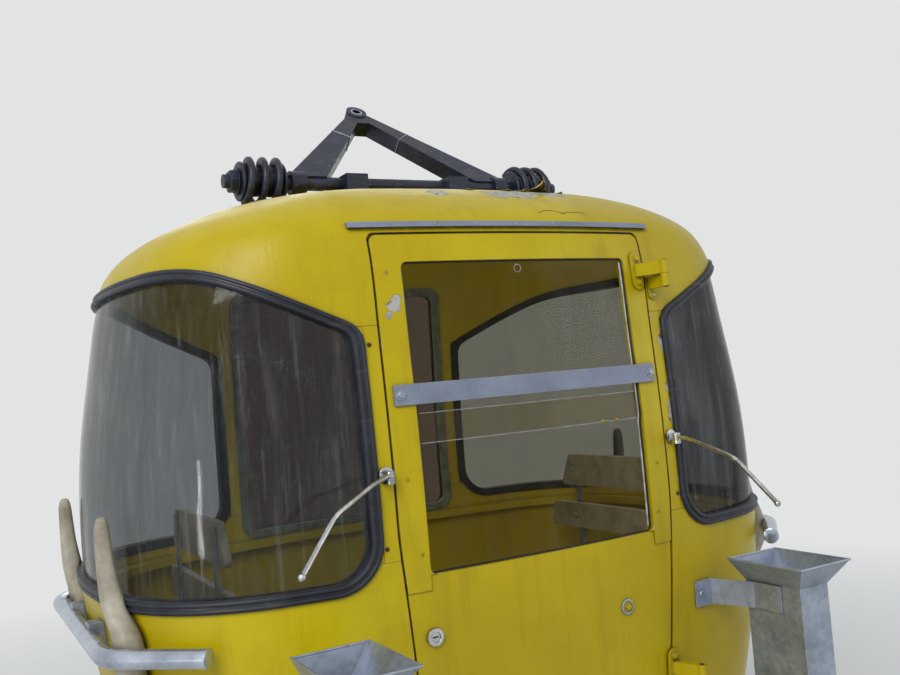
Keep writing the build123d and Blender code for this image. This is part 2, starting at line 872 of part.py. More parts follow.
# Hanger yoke, two legs leaning back to one eye
lean = Vector(0, eye_back, eye_rise - shaft_level)
along = lean.normalized()
plane_of_yoke = Plane(origin=(0, 0, shaft_level), x_dir=(1, 0, 0), z_dir=Vector(1, 0, 0).cross(along))
with BuildPart() as yoke:
    with BuildSketch(plane_of_yoke.offset(-leg_thick / 2)):
        foot_out = yoke_x + leg_foot_out
        foot_in = yoke_x - leg_foot_in
        crotch = lean.length - leg_crotch
        with BuildLine():
            Polyline(
                (foot_out, 0),
                (leg_top_out, lean.length),
                (-leg_top_out, lean.length),
                (-foot_out, 0),
                (-foot_in, 0),
                (-leg_top_out, crotch),
                (leg_top_out, crotch),
                (foot_in, 0),
                close=True,
            )
        make_face()
        with Locations((0, lean.length)):
            Circle(eye_radius)
    extrude(amount=leg_thick)
    with BuildSketch(plane_of_yoke.offset(-eye_width / 2)):
        with Locations((0, lean.length)):
            Circle(eye_radius)
    extrude(amount=eye_width)
    for t in (1, -1):
        with BuildSketch(Plane.YZ.offset(t * yoke_x - yoke_bush_width / 2)):
            with Locations((0, shaft_level)):
                Circle(yoke_bush_radius)
        extrude(amount=yoke_bush_width)
    with BuildSketch(Plane.YZ.offset(-shaft_half)):
        with Locations((0, shaft_level)):
            Circle(shaft_radius + pin_clearance)
    extrude(amount=2 * shaft_half, mode=Mode.SUBTRACT)
    with BuildSketch(plane_of_yoke.offset(-eye_width)):
        with Locations((0, lean.length)):
            Circle(eye_bore)
    extrude(amount=2 * eye_width, mode=Mode.SUBTRACT)
keep("hanger_yoke", yoke.part)

# Every piece is moved so that the hanger eye's centre is the origin, labelled and written
os.makedirs("parts", exist_ok=True)
for name, piece in kept:
    placed = piece.moved(Location((0, -eye_back, -eye_rise)))
    placed.label = name
    export_step(placed, f"parts/{name}.step")
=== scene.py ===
"""Cable car cabin: finishes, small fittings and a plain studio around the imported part."""

import json
import math
import random

import bmesh
import bpy
from mathutils import Matrix, Vector
from mathutils.bvhtree import BVHTree


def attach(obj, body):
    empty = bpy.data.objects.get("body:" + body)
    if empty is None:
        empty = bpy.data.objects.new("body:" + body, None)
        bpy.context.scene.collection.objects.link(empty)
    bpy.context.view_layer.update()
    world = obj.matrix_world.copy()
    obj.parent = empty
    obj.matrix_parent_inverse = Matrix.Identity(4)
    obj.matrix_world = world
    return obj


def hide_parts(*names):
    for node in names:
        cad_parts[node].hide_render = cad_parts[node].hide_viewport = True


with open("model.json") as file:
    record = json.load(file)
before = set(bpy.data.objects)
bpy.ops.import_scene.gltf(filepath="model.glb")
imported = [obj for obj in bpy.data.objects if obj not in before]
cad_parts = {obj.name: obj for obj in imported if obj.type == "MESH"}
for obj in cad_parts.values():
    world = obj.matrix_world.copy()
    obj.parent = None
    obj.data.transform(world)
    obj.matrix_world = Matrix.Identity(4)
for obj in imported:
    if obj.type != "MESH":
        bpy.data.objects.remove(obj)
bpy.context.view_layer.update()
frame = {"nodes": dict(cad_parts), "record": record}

# Places in the row frame, metres. The origin is the hanger eye's centre.
CABIN_Y = -0.273
BELT_Z = -0.857
SOLE_Z = BELT_Z - 1.115
SIDES = ((1, "right"), (-1, "left"))
SEED = 11


def at(x, y, z):
    """A point given from the cabin's centre line and belt datum, in the row frame."""
    return Vector((x, y + CABIN_Y, z + BELT_Z))


# Node graphs


class Net:
    """A material's node tree, built up by short calls."""

    def __init__(self, name):
        self.material = bpy.data.materials.new(name)
        self.material.use_nodes = True
        self.tree = self.material.node_tree
        self.tree.nodes.clear()
        self.shader = self.node("ShaderNodeBsdfPrincipled")
        self.output = self.node("ShaderNodeOutputMaterial")
        self.tree.links.new(self.shader.outputs[0], self.output.inputs[0])
        self.place = self.node("ShaderNodeTexCoord").outputs["Object"]

    def node(self, kind, options=None, **inputs):
        """Adds a node. Inputs are named with underscores for spaces, and take values or sockets."""
        made = self.tree.nodes.new(kind)
        for key, value in (options or {}).items():
            setattr(made, key, value)
        for key, value in inputs.items():
            name = key.replace("_", " ")
            socket = next(s for s in made.inputs if s.name == name and s.enabled)
            self.feed(socket, value)
        return made

    def feed(self, socket, value):
        """Links a socket or sets a value."""
        if isinstance(value, bpy.types.NodeSocket):
            self.tree.links.new(value, socket)
        else:
            socket.default_value = value

    def set(self, **inputs):
        """Feeds the shader's own sockets."""
        for key, value in inputs.items():
            self.feed(self.shader.inputs[key.replace("_", " ")], value)

    def mixed(self, factor, one, two):
        """Mix of two shaders."""
        made = self.tree.nodes.new("ShaderNodeMixShader")
        self.feed(made.inputs[0], factor)
        self.tree.links.new(one.outputs[0], made.inputs[1])
        self.tree.links.new(two.outputs[0], made.inputs[2])
        return made

    def see_through(self, tint, cover):
        """Lays the shader over a tinted clear one, and lets lamps shine in."""
        pane = self.mixed(cover, self.node("ShaderNodeBsdfTransparent", Color=tint), self.shader)
        open_way = self.node("ShaderNodeBsdfTransparent", Color=(0.9, 0.9, 0.9, 1))
        path = self.node("ShaderNodeLightPath")
        rays = [path.outputs[f"Is {kind} Ray"] for kind in ("Shadow", "Diffuse")]
        lit = self.mixed(self.either(*rays), pane, open_way)
        self.tree.links.new(lit.outputs[0], self.output.inputs[0])

    def stretched(self, x, y, z):
        """Object coordinates scaled along each axis."""
        return self.node("ShaderNodeMapping", Vector=self.place, Scale=(x, y, z)).outputs[0]

    def noise(self, scale, detail=4.0, rough=0.55, where=None, warp=0.0):
        """Noise value of a pattern with so many cells a metre."""
        looks = {"Scale": scale, "Detail": detail, "Roughness": rough, "Distortion": warp}
        return self.node("ShaderNodeTexNoise", Vector=where or self.place, **looks).outputs["Fac"]

    def cells(self, scale, feature="F1", where=None, out="Distance"):
        """Pattern of irregular cells, so many a metre."""
        where = where or self.place
        made = self.node("ShaderNodeTexVoronoi", {"feature": feature}, Vector=where, Scale=scale)
        return made.outputs[out]

    def span(self, value, low, high, to_low=0.0, to_high=1.0):
        """Maps a range of values to another, clamped."""
        ends = {"From_Min": low, "From_Max": high, "To_Min": to_low, "To_Max": to_high}
        return self.node("ShaderNodeMapRange", Value=value, **ends).outputs[0]

    def maths(self, operation, a, b=0.0, clamp=False):
        """Two-value arithmetic."""
        made = self.tree.nodes.new("ShaderNodeMath")
        made.operation = operation
        made.use_clamp = clamp
        self.feed(made.inputs[0], a)
        self.feed(made.inputs[1], b)
        return made.outputs[0]

    def both(self, a, b):
        """Product of two masks, or a mask at a share of its strength."""
        return self.maths("MULTIPLY", a, b)

    def either(self, a, b):
        """The larger of two masks."""
        return self.maths("MAXIMUM", a, b)

    def plus(self, a, b):
        """Sum of two masks, 1 at most."""
        return self.maths("ADD", a, b, True)

    def less(self, mask):
        """The opposite of a mask."""
        return self.maths("SUBTRACT", 1.0, mask)

    def blend(self, factor, a, b):
        """Colour between a and b."""
        made = self.tree.nodes.new("ShaderNodeMix")
        made.data_type = "RGBA"
        self.feed(made.inputs[0], factor)
        self.feed(made.inputs[6], a)
        self.feed(made.inputs[7], b)
        return made.outputs[2]

    def ramp(self, value, *stops):
        """Colour ramp of (position, colour) stops."""
        made = self.node("ShaderNodeValToRGB", Fac=value)
        band = made.color_ramp
        while len(band.elements) < len(stops):
            band.elements.new(0.5)
        for element, (place, colour) in zip(band.elements, stops):
            element.position = place
            element.color = colour
        return made.outputs[0]

    def bump(self, height, depth, strength=1.0, under=None):
        """Bump of a height from 0 to 1, so many metres deep."""
        made = self.node("ShaderNodeBump", Height=height, Strength=strength, Distance=depth)
        if under is not None:
            self.feed(made.inputs["Normal"], under)
        return made.outputs[0]

    def soft_edges(self, radius):
        """Normal rounded over edges by a radius in metres."""
        return self.node("ShaderNodeBevel", {"samples": 4}, Radius=radius).outputs[0]

    def corner_shade(self, reach):
        """Painted shade: 1 in corners and along fittings, where ambient occlusion finds shade, 0 on open
        surfaces.
        """
        shut = self.node("ShaderNodeAmbientOcclusion", {"samples": 4}, Distance=reach)
        return self.span(shut.outputs["AO"], 0.82, 0.35)

    def edge_wear_and_highlight(self, radius):
        """1 along edges that stand out, 0 on flats and in corners: wear on the enamel, a painted highlight on
        metal.
        """
        turned = self.node("ShaderNodeVectorMath", {"operation": "DOT_PRODUCT"})
        self.feed(turned.inputs[0], self.soft_edges(radius))
        self.feed(turned.inputs[1], self.node("ShaderNodeNewGeometry").outputs["Normal"])
        edge = self.span(turned.outputs["Value"], 0.985, 0.90)
        return self.both(edge, self.less(self.corner_shade(0.01)))

    def height_band(self, low, high, soft):
        """1 between two heights over the belt, fading over a soft edge."""
        level = self.node("ShaderNodeSeparateXYZ", Vector=self.place).outputs["Z"]
        up = self.span(level, low + BELT_Z - soft, low + BELT_Z + soft)
        down = self.span(level, high + BELT_Z + soft, high + BELT_Z - soft)
        return self.both(up, down)

    def near(self, centre, radius):
        """1 at a place, falling to 0 at a radius from it."""
        off = self.node("ShaderNodeVectorMath", {"operation": "DISTANCE"})
        self.feed(off.inputs[0], self.place)
        off.inputs[1].default_value = centre
        return self.span(off.outputs["Value"], 0.0, radius, 1.0, 0.0)


def rgb(r, g, b):
    """Linear colour of an sRGB colour given in 0 to 255."""

    def linear(v):
        v /= 255
        return v / 12.92 if v <= 0.04045 else ((v + 0.055) / 1.055) ** 2.4

    return (linear(r), linear(g), linear(b), 1.0)


# Materials. Place and reach of each patch: chips on the door frame, the roof and beside the end windows,
# and rust at the hinge and at the rail's left end
CHIP_PLACES = (
    (-0.317, -0.540, 0.232, 0.030),
    (-0.328, -0.540, 0.214, 0.020),
    (-0.307, -0.540, 0.246, 0.020),
    (0.10, -0.40, 0.50, 0.085),
    (0.20, -0.37, 0.51, 0.085),
    (0.03, -0.41, 0.49, 0.06),
    (-0.12, -0.40, 0.49, 0.05),
    (0.355, -0.54, 0.19, 0.022),
    (-0.55, -0.46, 0.28, 0.03),
    (0.388, -0.536, 0.125, 0.026),
    (0.390, -0.536, 0.105, 0.020),
    (0.389, -0.538, 0.012, 0.024),
    (0.388, -0.538, -0.040, 0.031),
    (0.389, -0.538, -0.062, 0.026),
    (0.390, -0.536, -0.205, 0.026),
)
HINGE_RUST = ((0.372, -0.585, 0.262, 0.026), (0.372, -0.56, 0.225, 0.022))
RUST_PLACES = ((-0.378, -0.56, 0.394, 0.022), (-0.340, -0.56, 0.396, 0.012))


def patches(net, places, ragged):
    """Mask of ragged patches around places."""
    mask = None
    for x, y, z, reach in places:
        here = net.maths("ADD", net.near(at(x, y, z), reach), net.both(ragged, 1.1))
        here = net.span(here, 1.0, 1.04)
        mask = net.either(mask, here) if mask else here
    return mask


def yellow_paint():
    """Thick brushed-on yellow enamel with painted shade in its corners, worn edges and flaking patches."""
    net = Net("yellow_enamel")
    broad = net.noise(1.6, 3, 0.5)
    mottled = net.noise(9, 5, 0.6)
    colour = net.ramp(broad, (0.3, rgb(180, 158, 4)), (0.5, rgb(192, 171, 5)), (0.7, rgb(204, 185, 10)))
    colour = net.blend(net.span(mottled, 0.38, 0.78, 0.0, 0.4), colour, rgb(168, 142, 4))
    streaks = net.noise(1.0, 6, 0.65, net.stretched(14, 14, 1.6))
    grime = net.both(net.span(streaks, 0.54, 0.8), 0.34)
    colour = net.blend(grime, colour, rgb(112, 92, 16))
    # Painted shade: brownish darkening in corners and along fittings, from ambient occlusion, broken up by
    # noise
    corner = net.both(net.corner_shade(0.014), net.span(net.noise(30, 4, 0.7), 0.25, 0.6, 0.45, 1.0))
    colour = net.blend(net.both(corner, 0.85), colour, rgb(60, 44, 14))
    spots = net.both(net.span(net.cells(160), 0.10, 0.04), net.span(mottled, 0.5, 0.62))
    colour = net.blend(net.both(spots, 0.5), colour, rgb(84, 62, 20))
    ragged = net.noise(42, 6, 0.7, warp=0.3)
    chip = patches(net, CHIP_PLACES, ragged)
    chip = net.either(chip, net.span(net.noise(24, 5, 0.7), 0.725, 0.74))
    rubbed = net.both(net.edge_wear_and_highlight(0.0035), net.span(net.noise(34, 6, 0.75), 0.55, 0.60))
    chip = net.either(chip, rubbed)
    colour = net.blend(patches(net, HINGE_RUST, ragged), colour, rgb(84, 46, 20))
    bare = ((0.38, rgb(150, 150, 140)), (0.55, rgb(186, 184, 176)), (0.66, rgb(112, 70, 40)))
    under = net.ramp(net.noise(30, 4, 0.6), *bare)
    colour = net.blend(chip, colour, under)
    brushed = net.noise(1.0, 5, 0.6, net.stretched(120, 120, 9))
    normal = net.bump(net.noise(3.2, 2, 0.4), 0.010, 0.6, net.soft_edges(0.003))
    normal = net.bump(mottled, 0.0035, 0.6, normal)
    normal = net.bump(brushed, 0.0011, 0.6, normal)
    normal = net.bump(net.noise(260, 2, 0.5), 0.0003, 0.5, normal)
    normal = net.bump(net.less(chip), 0.0012, 0.9, normal)
    rough = net.maths("ADD", net.span(mottled, 0.3, 0.7, 0.30, 0.46), net.both(chip, 0.3))
    net.set(Base_Color=colour, Roughness=rough, Normal=normal, Specular_IOR_Level=0.3)
    return net.material


def lifted_paint():
    """Flake of enamel: yellow on top and brown underneath."""
    net = Net("lifted_enamel")
    facing = net.node("ShaderNodeNewGeometry").outputs["Normal"]
    upward = net.node("ShaderNodeSeparateXYZ", Vector=facing).outputs["Z"]
    top = net.span(upward, -0.1, 0.1)
    cloud = net.noise(60, 4, 0.6)
    colour = net.ramp(cloud, (0.35, rgb(176, 154, 6)), (0.65, rgb(206, 186, 20)))
    colour = net.blend(top, rgb(92, 62, 34), colour)
    net.set(Base_Color=colour, Roughness=0.45, Normal=net.bump(cloud, 0.001, 0.5))
    return net.material


# Heights of the two sheets' edges where they overlap in the door
UPPER_PANE_FOOT = -0.053
LOWER_PANE_TOP = 0.008
OVERLAP = (UPPER_PANE_FOOT, LOWER_PANE_TOP)
# Sheets: name, tint of what shows through, colour of the surface, least cover, roughness, haze and index,
# and the overlap where there is one
HAZE_COVER = 0.5
BAND_EDGE = 0.0006
SHEETS = {
    "smoked_pane": ("smoked_acrylic", (0.46, 0.47, 0.48), (44, 48, 50), 0.06, 0.07, 0.8, 2.2),
    # Painted light: a lighter copy of the smoked sheet, so that the left end window looks lit and clear
    "lit_left_pane": ("lit_left_acrylic", (0.66, 0.67, 0.68), (44, 48, 50), 0.06, 0.06, 0.8, 2.2),
    "clear_pane": ("clear_acrylic", (0.93, 0.90, 0.78), (34, 28, 20), 0.02, 0.04, 0.26, 2.1, OVERLAP),
    # Painted shade: a darker copy of the clear sheet, which stands in for darkness behind the far window
    "shaded_far_pane": ("shaded_far_acrylic", (0.30, 0.26, 0.25), (34, 28, 26), 0.05, 0.06, 0.3, 2.0),
}


def acrylic(name, tint, film, low, rough, cloudy, ior, doubled=None):
    """Weathered acrylic: tinted, hazy where scratched, dusty or doubled, glossy on top."""
    net = Net(name)
    cloud = net.noise(3.0, 4, 0.6)
    streaks = net.noise(1.0, 6, 0.7, net.stretched(30, 30, 1.8))
    runs = net.noise(1.0, 4, 0.6, net.stretched(90, 90, 3.5))
    wave = {"Scale": 34.0, "Distortion": 9.0, "Detail": 3.0, "Detail_Scale": 1.6}
    arcs = net.node("ShaderNodeTexWave", {"wave_type": "RINGS"}, Vector=net.stretched(1, 1.7, 1), **wave)
    borders = net.cells(55, "DISTANCE_TO_EDGE", net.stretched(1, 1, 0.25))
    scratch = net.both(net.span(borders, 0.0, 0.012, 1.0, 0.0), net.span(net.noise(14, 3), 0.5, 0.62))
    dust = net.both(net.span(streaks, 0.45, 0.8), net.span(cloud, 0.3, 0.7))
    haze = net.plus(net.both(dust, 0.6), net.both(scratch, 0.5))
    haze = net.plus(haze, net.both(net.span(runs, 0.56, 0.76), 0.35))
    haze = net.plus(haze, net.both(net.span(arcs.outputs["Fac"], 0.93, 1.0), 0.12))
    haze = net.both(haze, cloudy)
    if doubled:
        haze = net.plus(haze, net.both(net.height_band(*doubled, BAND_EDGE), 0.05))
    normal = net.bump(net.noise(5, 2, 0.4), 0.006, 0.5)
    normal = net.bump(net.noise(1.0, 3, 0.5, net.stretched(26, 26, 5)), 0.0012, 0.5, normal)
    facing = net.node("ShaderNodeLayerWeight", Blend=0.5).outputs["Facing"]
    glance = net.maths("POWER", facing, 4.0)
    cover = net.plus(low, net.both(haze, HAZE_COVER - low))
    cover = net.plus(cover, net.both(glance, 0.7))
    colour = net.blend(net.span(haze, 0.0, 0.3), rgb(*film), rgb(146, 146, 140))
    roughness = net.maths("ADD", rough, net.both(haze, 0.25))
    net.set(Base_Color=colour, Roughness=roughness, Normal=normal, IOR=ior)
    net.see_through((*tint, 1), cover)
    return net.material


def worn_rubber():
    """Black window rubber with a painted bluish sheen in patches, greyed where it is worn and dusty."""
    net = Net("window_rubber")
    wear_and_sheen = net.noise(22, 5, 0.7)
    # Painted reflection: the bluish middle stop is a sheen; the grey last stop is wear
    colour = net.ramp(wear_and_sheen, (0.35, rgb(14, 16, 22)), (0.62, rgb(30, 35, 48)), (0.8, rgb(84, 86, 92)))
    dust = net.noise(1.0, 4, 0.6, net.stretched(6, 6, 60))
    colour = net.blend(net.span(dust, 0.62, 0.8, 0.0, 0.35), colour, rgb(126, 122, 108))
    normal = net.bump(wear_and_sheen, 0.0012, 0.6, net.soft_edges(0.004))
    net.set(Base_Color=colour, Roughness=net.span(wear_and_sheen, 0.3, 0.7, 0.34, 0.6), Normal=normal)
    return net.material


# Metals: name, dark and light colour, metallic share, roughness range, cells a metre, stains and spangle
METAL_EDGE = 0.0015
METALS = {
    "flat_steel": ("flat_bar_metal", (108, 116, 134), (142, 150, 168), 0.35, (0.42, 0.6), 300, 0.2, 0.12),
    "galvanised": ("galvanised_zinc", (116, 124, 140), (174, 183, 198), 0.6, (0.30, 0.5), 90, 0.22, 0.12),
    "tube_zinc": ("smooth_zinc", (138, 146, 160), (200, 208, 220), 0.85, (0.20, 0.36), 90, 0.3, 0.05),
    "chrome_plate": ("worn_chrome", (150, 150, 152), (214, 214, 214), 1.0, (0.12, 0.3), 60, 0.4, 0.3),
    "floor_plate": ("floor_plate", (70, 70, 68), (118, 116, 110), 0.5, (0.45, 0.7), 90, 0.6, 0.12),
}


def sheet_metal(name, dark, light, metallic, rough, grain, stain, spangle):
    """Bare or zinc-coated metal with faint spangle, clouds, stains, painted corner shade and painted edge
    highlights.
    """
    net = Net(name)
    tone = net.node("ShaderNodeSeparateColor", Color=net.cells(grain, out="Color")).outputs[0]
    cloud = net.noise(9, 5, 0.62)
    mix = net.maths("ADD", net.both(tone, spangle), net.both(cloud, 1.05 - spangle))
    colour = net.ramp(mix, (0.25, rgb(*dark)), (0.75, rgb(*light)))
    marks = net.span(net.noise(1.0, 6, 0.7, net.stretched(40, 40, 5)), 0.56, 0.74)
    colour = net.blend(net.both(marks, stain), colour, rgb(70, 60, 48))
    # Painted shade: darker in corners and along fittings, from ambient occlusion
    colour = net.blend(net.both(net.corner_shade(0.010), 0.6), colour, rgb(52, 44, 34))
    spots = net.both(net.span(net.noise(55, 5, 0.7), 0.66, 0.70), net.span(cloud, 0.45, 0.6))
    spots = net.either(spots, patches(net, RUST_PLACES, net.noise(60, 5, 0.7)))
    colour = net.blend(net.both(spots, 0.8), colour, rgb(92, 54, 32))
    # Painted highlight: edges lightened to a pale bluish white, partly wear
    colour = net.blend(net.both(net.edge_wear_and_highlight(METAL_EDGE), 0.6), colour, rgb(206, 212, 222))
    normal = net.bump(cloud, 0.0006, 0.35, net.soft_edges(METAL_EDGE))
    normal = net.bump(net.noise(420, 3, 0.6), 0.00008, 0.5, normal)
    net.set(Base_Color=colour, Metallic=metallic, Roughness=net.span(mix, 0.3, 0.8, *rough), Normal=normal)
    return net.material


# Dull looks: name, dark and light colour and roughness, then, where they aren't the usual ones, clouds and
# grain a metre, depth of the grain, rounding of edges and share of painted shade in corners
DULLS = {
    "grey_frame": ("grey_frame_paint", (92, 100, 94), (138, 146, 138), 0.45),
    "horn_plastic": ("weathered_horn", (146, 138, 120), (196, 188, 170), 0.6, 14, (60, 60, 9), 0.0008, 0.004),
    "seat_slat": ("seat_slat_grey", (128, 121, 104), (166, 158, 138), 0.5, 20, (200, 12, 200), 0.0006),
    "seat_strip": ("seat_strip_grey", (92, 96, 94), (140, 144, 140), 0.45),
    "underframe_paint": ("underframe_black", (26, 28, 34), (82, 60, 46), 0.6),
    "cut_edge": (
        "bright_glass_edge", (140, 148, 154), (206, 212, 218), 0.3, 40, (90, 90, 90), 0.0002, 0.0005, 0.1
    ),
    "rust": ("rusted_iron", (44, 26, 16), (112, 66, 36), 0.8, 120, (300, 300, 300), 0.0006, 0.001),
}


def dull(name, dark, light, rough, scale=30, grain=(180, 180, 180), depth=0.0008, edge=0.002, corner_shade_share=0.6):
    """Plain paint, plastic or rust with two-tone weathering, grain and painted shade in its corners."""
    net = Net(name)
    cloud = net.noise(scale, 5, 0.65)
    colour = net.ramp(cloud, (0.35, rgb(*dark)), (0.68, rgb(*light)))
    fine = net.noise(1.0, 4, 0.6, net.stretched(*grain))
    colour = net.blend(net.span(fine, 0.55, 0.75, 0.0, 0.35), colour, rgb(*dark))
    # Painted shade: darker in corners and along fittings, from ambient occlusion
    colour = net.blend(net.both(net.corner_shade(0.016), corner_shade_share), colour, rgb(46, 38, 28))
    normal = net.bump(fine, depth, 0.5, net.soft_edges(edge))
    net.set(Base_Color=colour, Roughness=net.span(cloud, 0.3, 0.7, rough - 0.08, rough + 0.1), Normal=normal)
    return net.material


def chipped_navy():
    """Navy black paint, chipped to bright specks, with dust and a little rust."""
    net = Net("navy_black")
    cloud = net.noise(18, 5, 0.65)
    colour = net.ramp(cloud, (0.35, rgb(12, 14, 26)), (0.6, rgb(22, 28, 52)), (0.78, rgb(48, 54, 76)))
    chip = net.both(net.span(net.noise(60, 5, 0.7), 0.66, 0.68), net.span(cloud, 0.42, 0.52))
    bare = net.ramp(net.noise(90), (0.45, rgb(190, 190, 190)), (0.6, rgb(96, 58, 36)))
    colour = net.blend(chip, colour, bare)
    dusty = net.both(net.span(net.noise(1.0, 5, 0.7, net.stretched(20, 20, 60)), 0.5, 0.8), 0.35)
    colour = net.blend(dusty, colour, rgb(96, 96, 100))
    normal = net.bump(cloud, 0.002, 0.5, net.soft_edges(0.002))
    normal = net.bump(net.less(chip), 0.0006, 0.8, normal)
    net.set(Base_Color=colour, Roughness=net.span(cloud, 0.3, 0.7, 0.3, 0.55), Normal=normal)
    return net.material


# A finish for each slot, and for what only the scene adds
finishes = {
    "yellow_paint": yellow_paint(),
    "lifted_paint": lifted_paint(),
    "window_rubber": worn_rubber(),
    "navy_paint": chipped_navy(),
}
finishes.update({slot: acrylic(*look) for slot, look in SHEETS.items()})
finishes.update({slot: sheet_metal(*look) for slot, look in METALS.items()})
finishes.update({slot: dull(*look) for slot, look in DULLS.items()})
slot_of = {row["node"]: row["material_slot"] for row in frame["record"]["subparts"]}
# Nodes that look unlike the rest of their slot in the photo
own_looks = {
    # Painted shade: the far window takes the darker copy of the clear sheet
    "far_window_pane": "shaded_far_pane",
    # Painted light: the left end window takes the lighter copy of the smoked sheet
    "end_window_left": "lit_left_pane",
    "bumper_tube_left": "tube_zinc",
    "bumper_tube_right": "tube_zinc",
}
for name, node in frame["nodes"].items():
    node.data.materials.clear()
    node.data.materials.append(finishes[own_looks.get(name, slot_of[name])])


# Camera at the photograph's viewing angle, fitted to the door and window outlines
CAMERA_PLACE = at(-1.16935, -2.28077, 0.07774)
CAMERA_RIGHT = Vector((0.87124756, -0.48352767, -0.08443151))
CAMERA_DOWN = Vector((-0.05389183, 0.07674088, -0.99559355))
CAMERA_AHEAD = Vector((0.48787638, 0.87195862, 0.04080212))
FOCAL_PIXELS = 958.857
PHOTO_WIDTH = 900
SENSOR = 36.0


def photo_camera():
    """The camera, as three directions and a focal length."""
    data = bpy.data.cameras.new("photo_camera")
    data.sensor_width = SENSOR
    data.lens = FOCAL_PIXELS / PHOTO_WIDTH * SENSOR
    camera = bpy.data.objects.new("photo_camera", data)
    turn = Matrix((CAMERA_RIGHT, -CAMERA_DOWN, -CAMERA_AHEAD)).transposed()
    camera.matrix_world = Matrix.Translation(CAMERA_PLACE) @ turn.to_4x4()
    bpy.context.collection.objects.link(camera)
    bpy.context.scene.camera = camera


# Shapes made in mesh code


def mesh_object(name, bm, material, smooth=True):
    """Puts a bmesh into the scene as a named object."""
    mesh = bpy.data.meshes.new(name)
    bmesh.ops.recalc_face_normals(bm, faces=bm.faces)
    bm.to_mesh(mesh)
    bm.free()
    mesh.materials.append(material)
    made = bpy.data.objects.new(name, mesh)
    bpy.context.collection.objects.link(made)
    if smooth:
        mesh.polygons.foreach_set("use_smooth", [True] * len(mesh.polygons))
        split = made.modifiers.new("split", "EDGE_SPLIT")
        split.split_angle = math.radians(38)
    return made


def piece(name, bm, finish, body="cabin"):
    """A finished piece that rides on a body."""
    made = mesh_object(name, bm, finishes[finish])
    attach(made, body)
    return made


skins = {}
OUTSIDE = 2


def skin(node):
    """Search tree of a CAD node's surface."""
    if node not in skins:
        mesh = frame["nodes"][node].data
        corners = [v.co.copy() for v in mesh.vertices]
        skins[node] = BVHTree.FromPolygons(corners, [tuple(p.vertices) for p in mesh.polygons])
    return skins[node]


def hit(nodes, start, direction):
    """Nearest point of some nodes along a ray, with the outward normal, or None."""
    best = None
    for node in nodes:
        place, normal, _, distance = skin(node).ray_cast(start, direction)
        if place is not None and (best is None or distance < best[2]):
            best = (place, normal if normal.dot(direction) < 0 else -normal, distance)
    return best[:2] if best else None


def on_wall(nodes, x, z, side=-1):
    """Point and normal on the outside of some nodes, seen from the door side or the far side."""
    return hit(nodes, at(x, side * OUTSIDE, z), Vector((0, -side, 0)))


def strip(bm, one, two, closed=False):
    """Faces between two rows of vertices, or between two rings."""
    if closed:
        one, two = one + one[:1], two + two[:1]
    for corners in zip(one, one[1:], two[1:], two):
        bm.faces.new(corners)


def lathe(bm, profile, place, axis, segments=24):
    """Turned form of (radius, height) pairs along an axis from a place."""
    turn = Vector(axis).to_track_quat("Z", "Y").to_matrix()
    rings = []
    for radius, height in profile:
        if radius == 0:
            rings.append([bm.verts.new(place + turn @ Vector((0, 0, height)))])
            continue
        ring = []
        for k in range(segments):
            angle = 2 * math.pi * k / segments
            spot = Vector((radius * math.cos(angle), radius * math.sin(angle), height))
            ring.append(bm.verts.new(place + turn @ spot))
        rings.append(ring)
    for low, high in zip(rings, rings[1:]):
        for k in range(segments):
            n = (k + 1) % segments
            corners = [low[k % len(low)], low[n % len(low)], high[n % len(high)], high[k % len(high)]]
            corners = list(dict.fromkeys(corners))
            if len(corners) > 2:
                bm.faces.new(corners)


def bead(bm, path, radius, closed=False, segments=10, flat=1.0):
    """Round bead along (point, normal) pairs, flattened along the normal if asked."""
    count = len(path)
    rings = []
    for k, (place, normal) in enumerate(path):
        before = path[(k - 1) % count if closed else max(k - 1, 0)][0]
        after = path[(k + 1) % count if closed else min(k + 1, count - 1)][0]
        along = (after - before).normalized()
        up = (normal - along * normal.dot(along)).normalized()
        across = along.cross(up)
        ring = []
        for i in range(segments):
            angle = 2 * math.pi * i / segments
            aside = across * (radius * math.cos(angle))
            ring.append(bm.verts.new(place + aside + up * (radius * flat * math.sin(angle))))
        rings.append(ring)
    pairs = list(zip(rings, rings[1:]))
    if closed:
        pairs.append((rings[-1], rings[0]))
    for one, two in pairs:
        strip(bm, one, two, closed=True)
    if not closed:
        bm.faces.new(rings[0])
        bm.faces.new(list(reversed(rings[-1])))


def rounded(points, radii, arc_steps=8):
    """Polyline through points with its corners rounded by arcs."""
    made = [Vector(points[0])]
    for before, corner, after, radius in zip(points, points[1:], points[2:], radii):
        corner = Vector(corner)
        to_before = (Vector(before) - corner).normalized()
        to_after = (Vector(after) - corner).normalized()
        half = to_before.angle(to_after) / 2
        centre = corner + (to_before + to_after).normalized() * (radius / math.sin(half))
        start = corner + to_before * (radius / math.tan(half)) - centre
        end = corner + to_after * (radius / math.tan(half)) - centre
        for k in range(arc_steps + 1):
            t = k / arc_steps
            made.append(centre + (start * (1 - t) + end * t).normalized() * radius)
    made.append(Vector(points[-1]))
    return made


PATH_STEP = 0.02


def evenly(points, step=PATH_STEP):
    """The same polyline with points no further apart than a step."""
    made = [points[0]]
    for a, b in zip(points, points[1:]):
        parts = max(1, math.ceil((b - a).length / step))
        made += [a.lerp(b, k / parts) for k in range(1, parts + 1)]
    return made


WASHER = 0.0014


def bolt(bm, place, normal, radius, height=None):
    """Hexagon head on a washer."""
    height = height or radius
    lathe(bm, ((radius * 1.75, -0.002), (radius * 1.75, WASHER), (radius, WASHER + 0.0002)), place, normal)
    head = (
        (radius * 1.15, 0),
        (radius * 1.15, WASHER + height * 0.8),
        (radius * 0.95, WASHER + height),
        (0, WASHER + height),
    )
    lathe(bm, head, place, normal, segments=6)


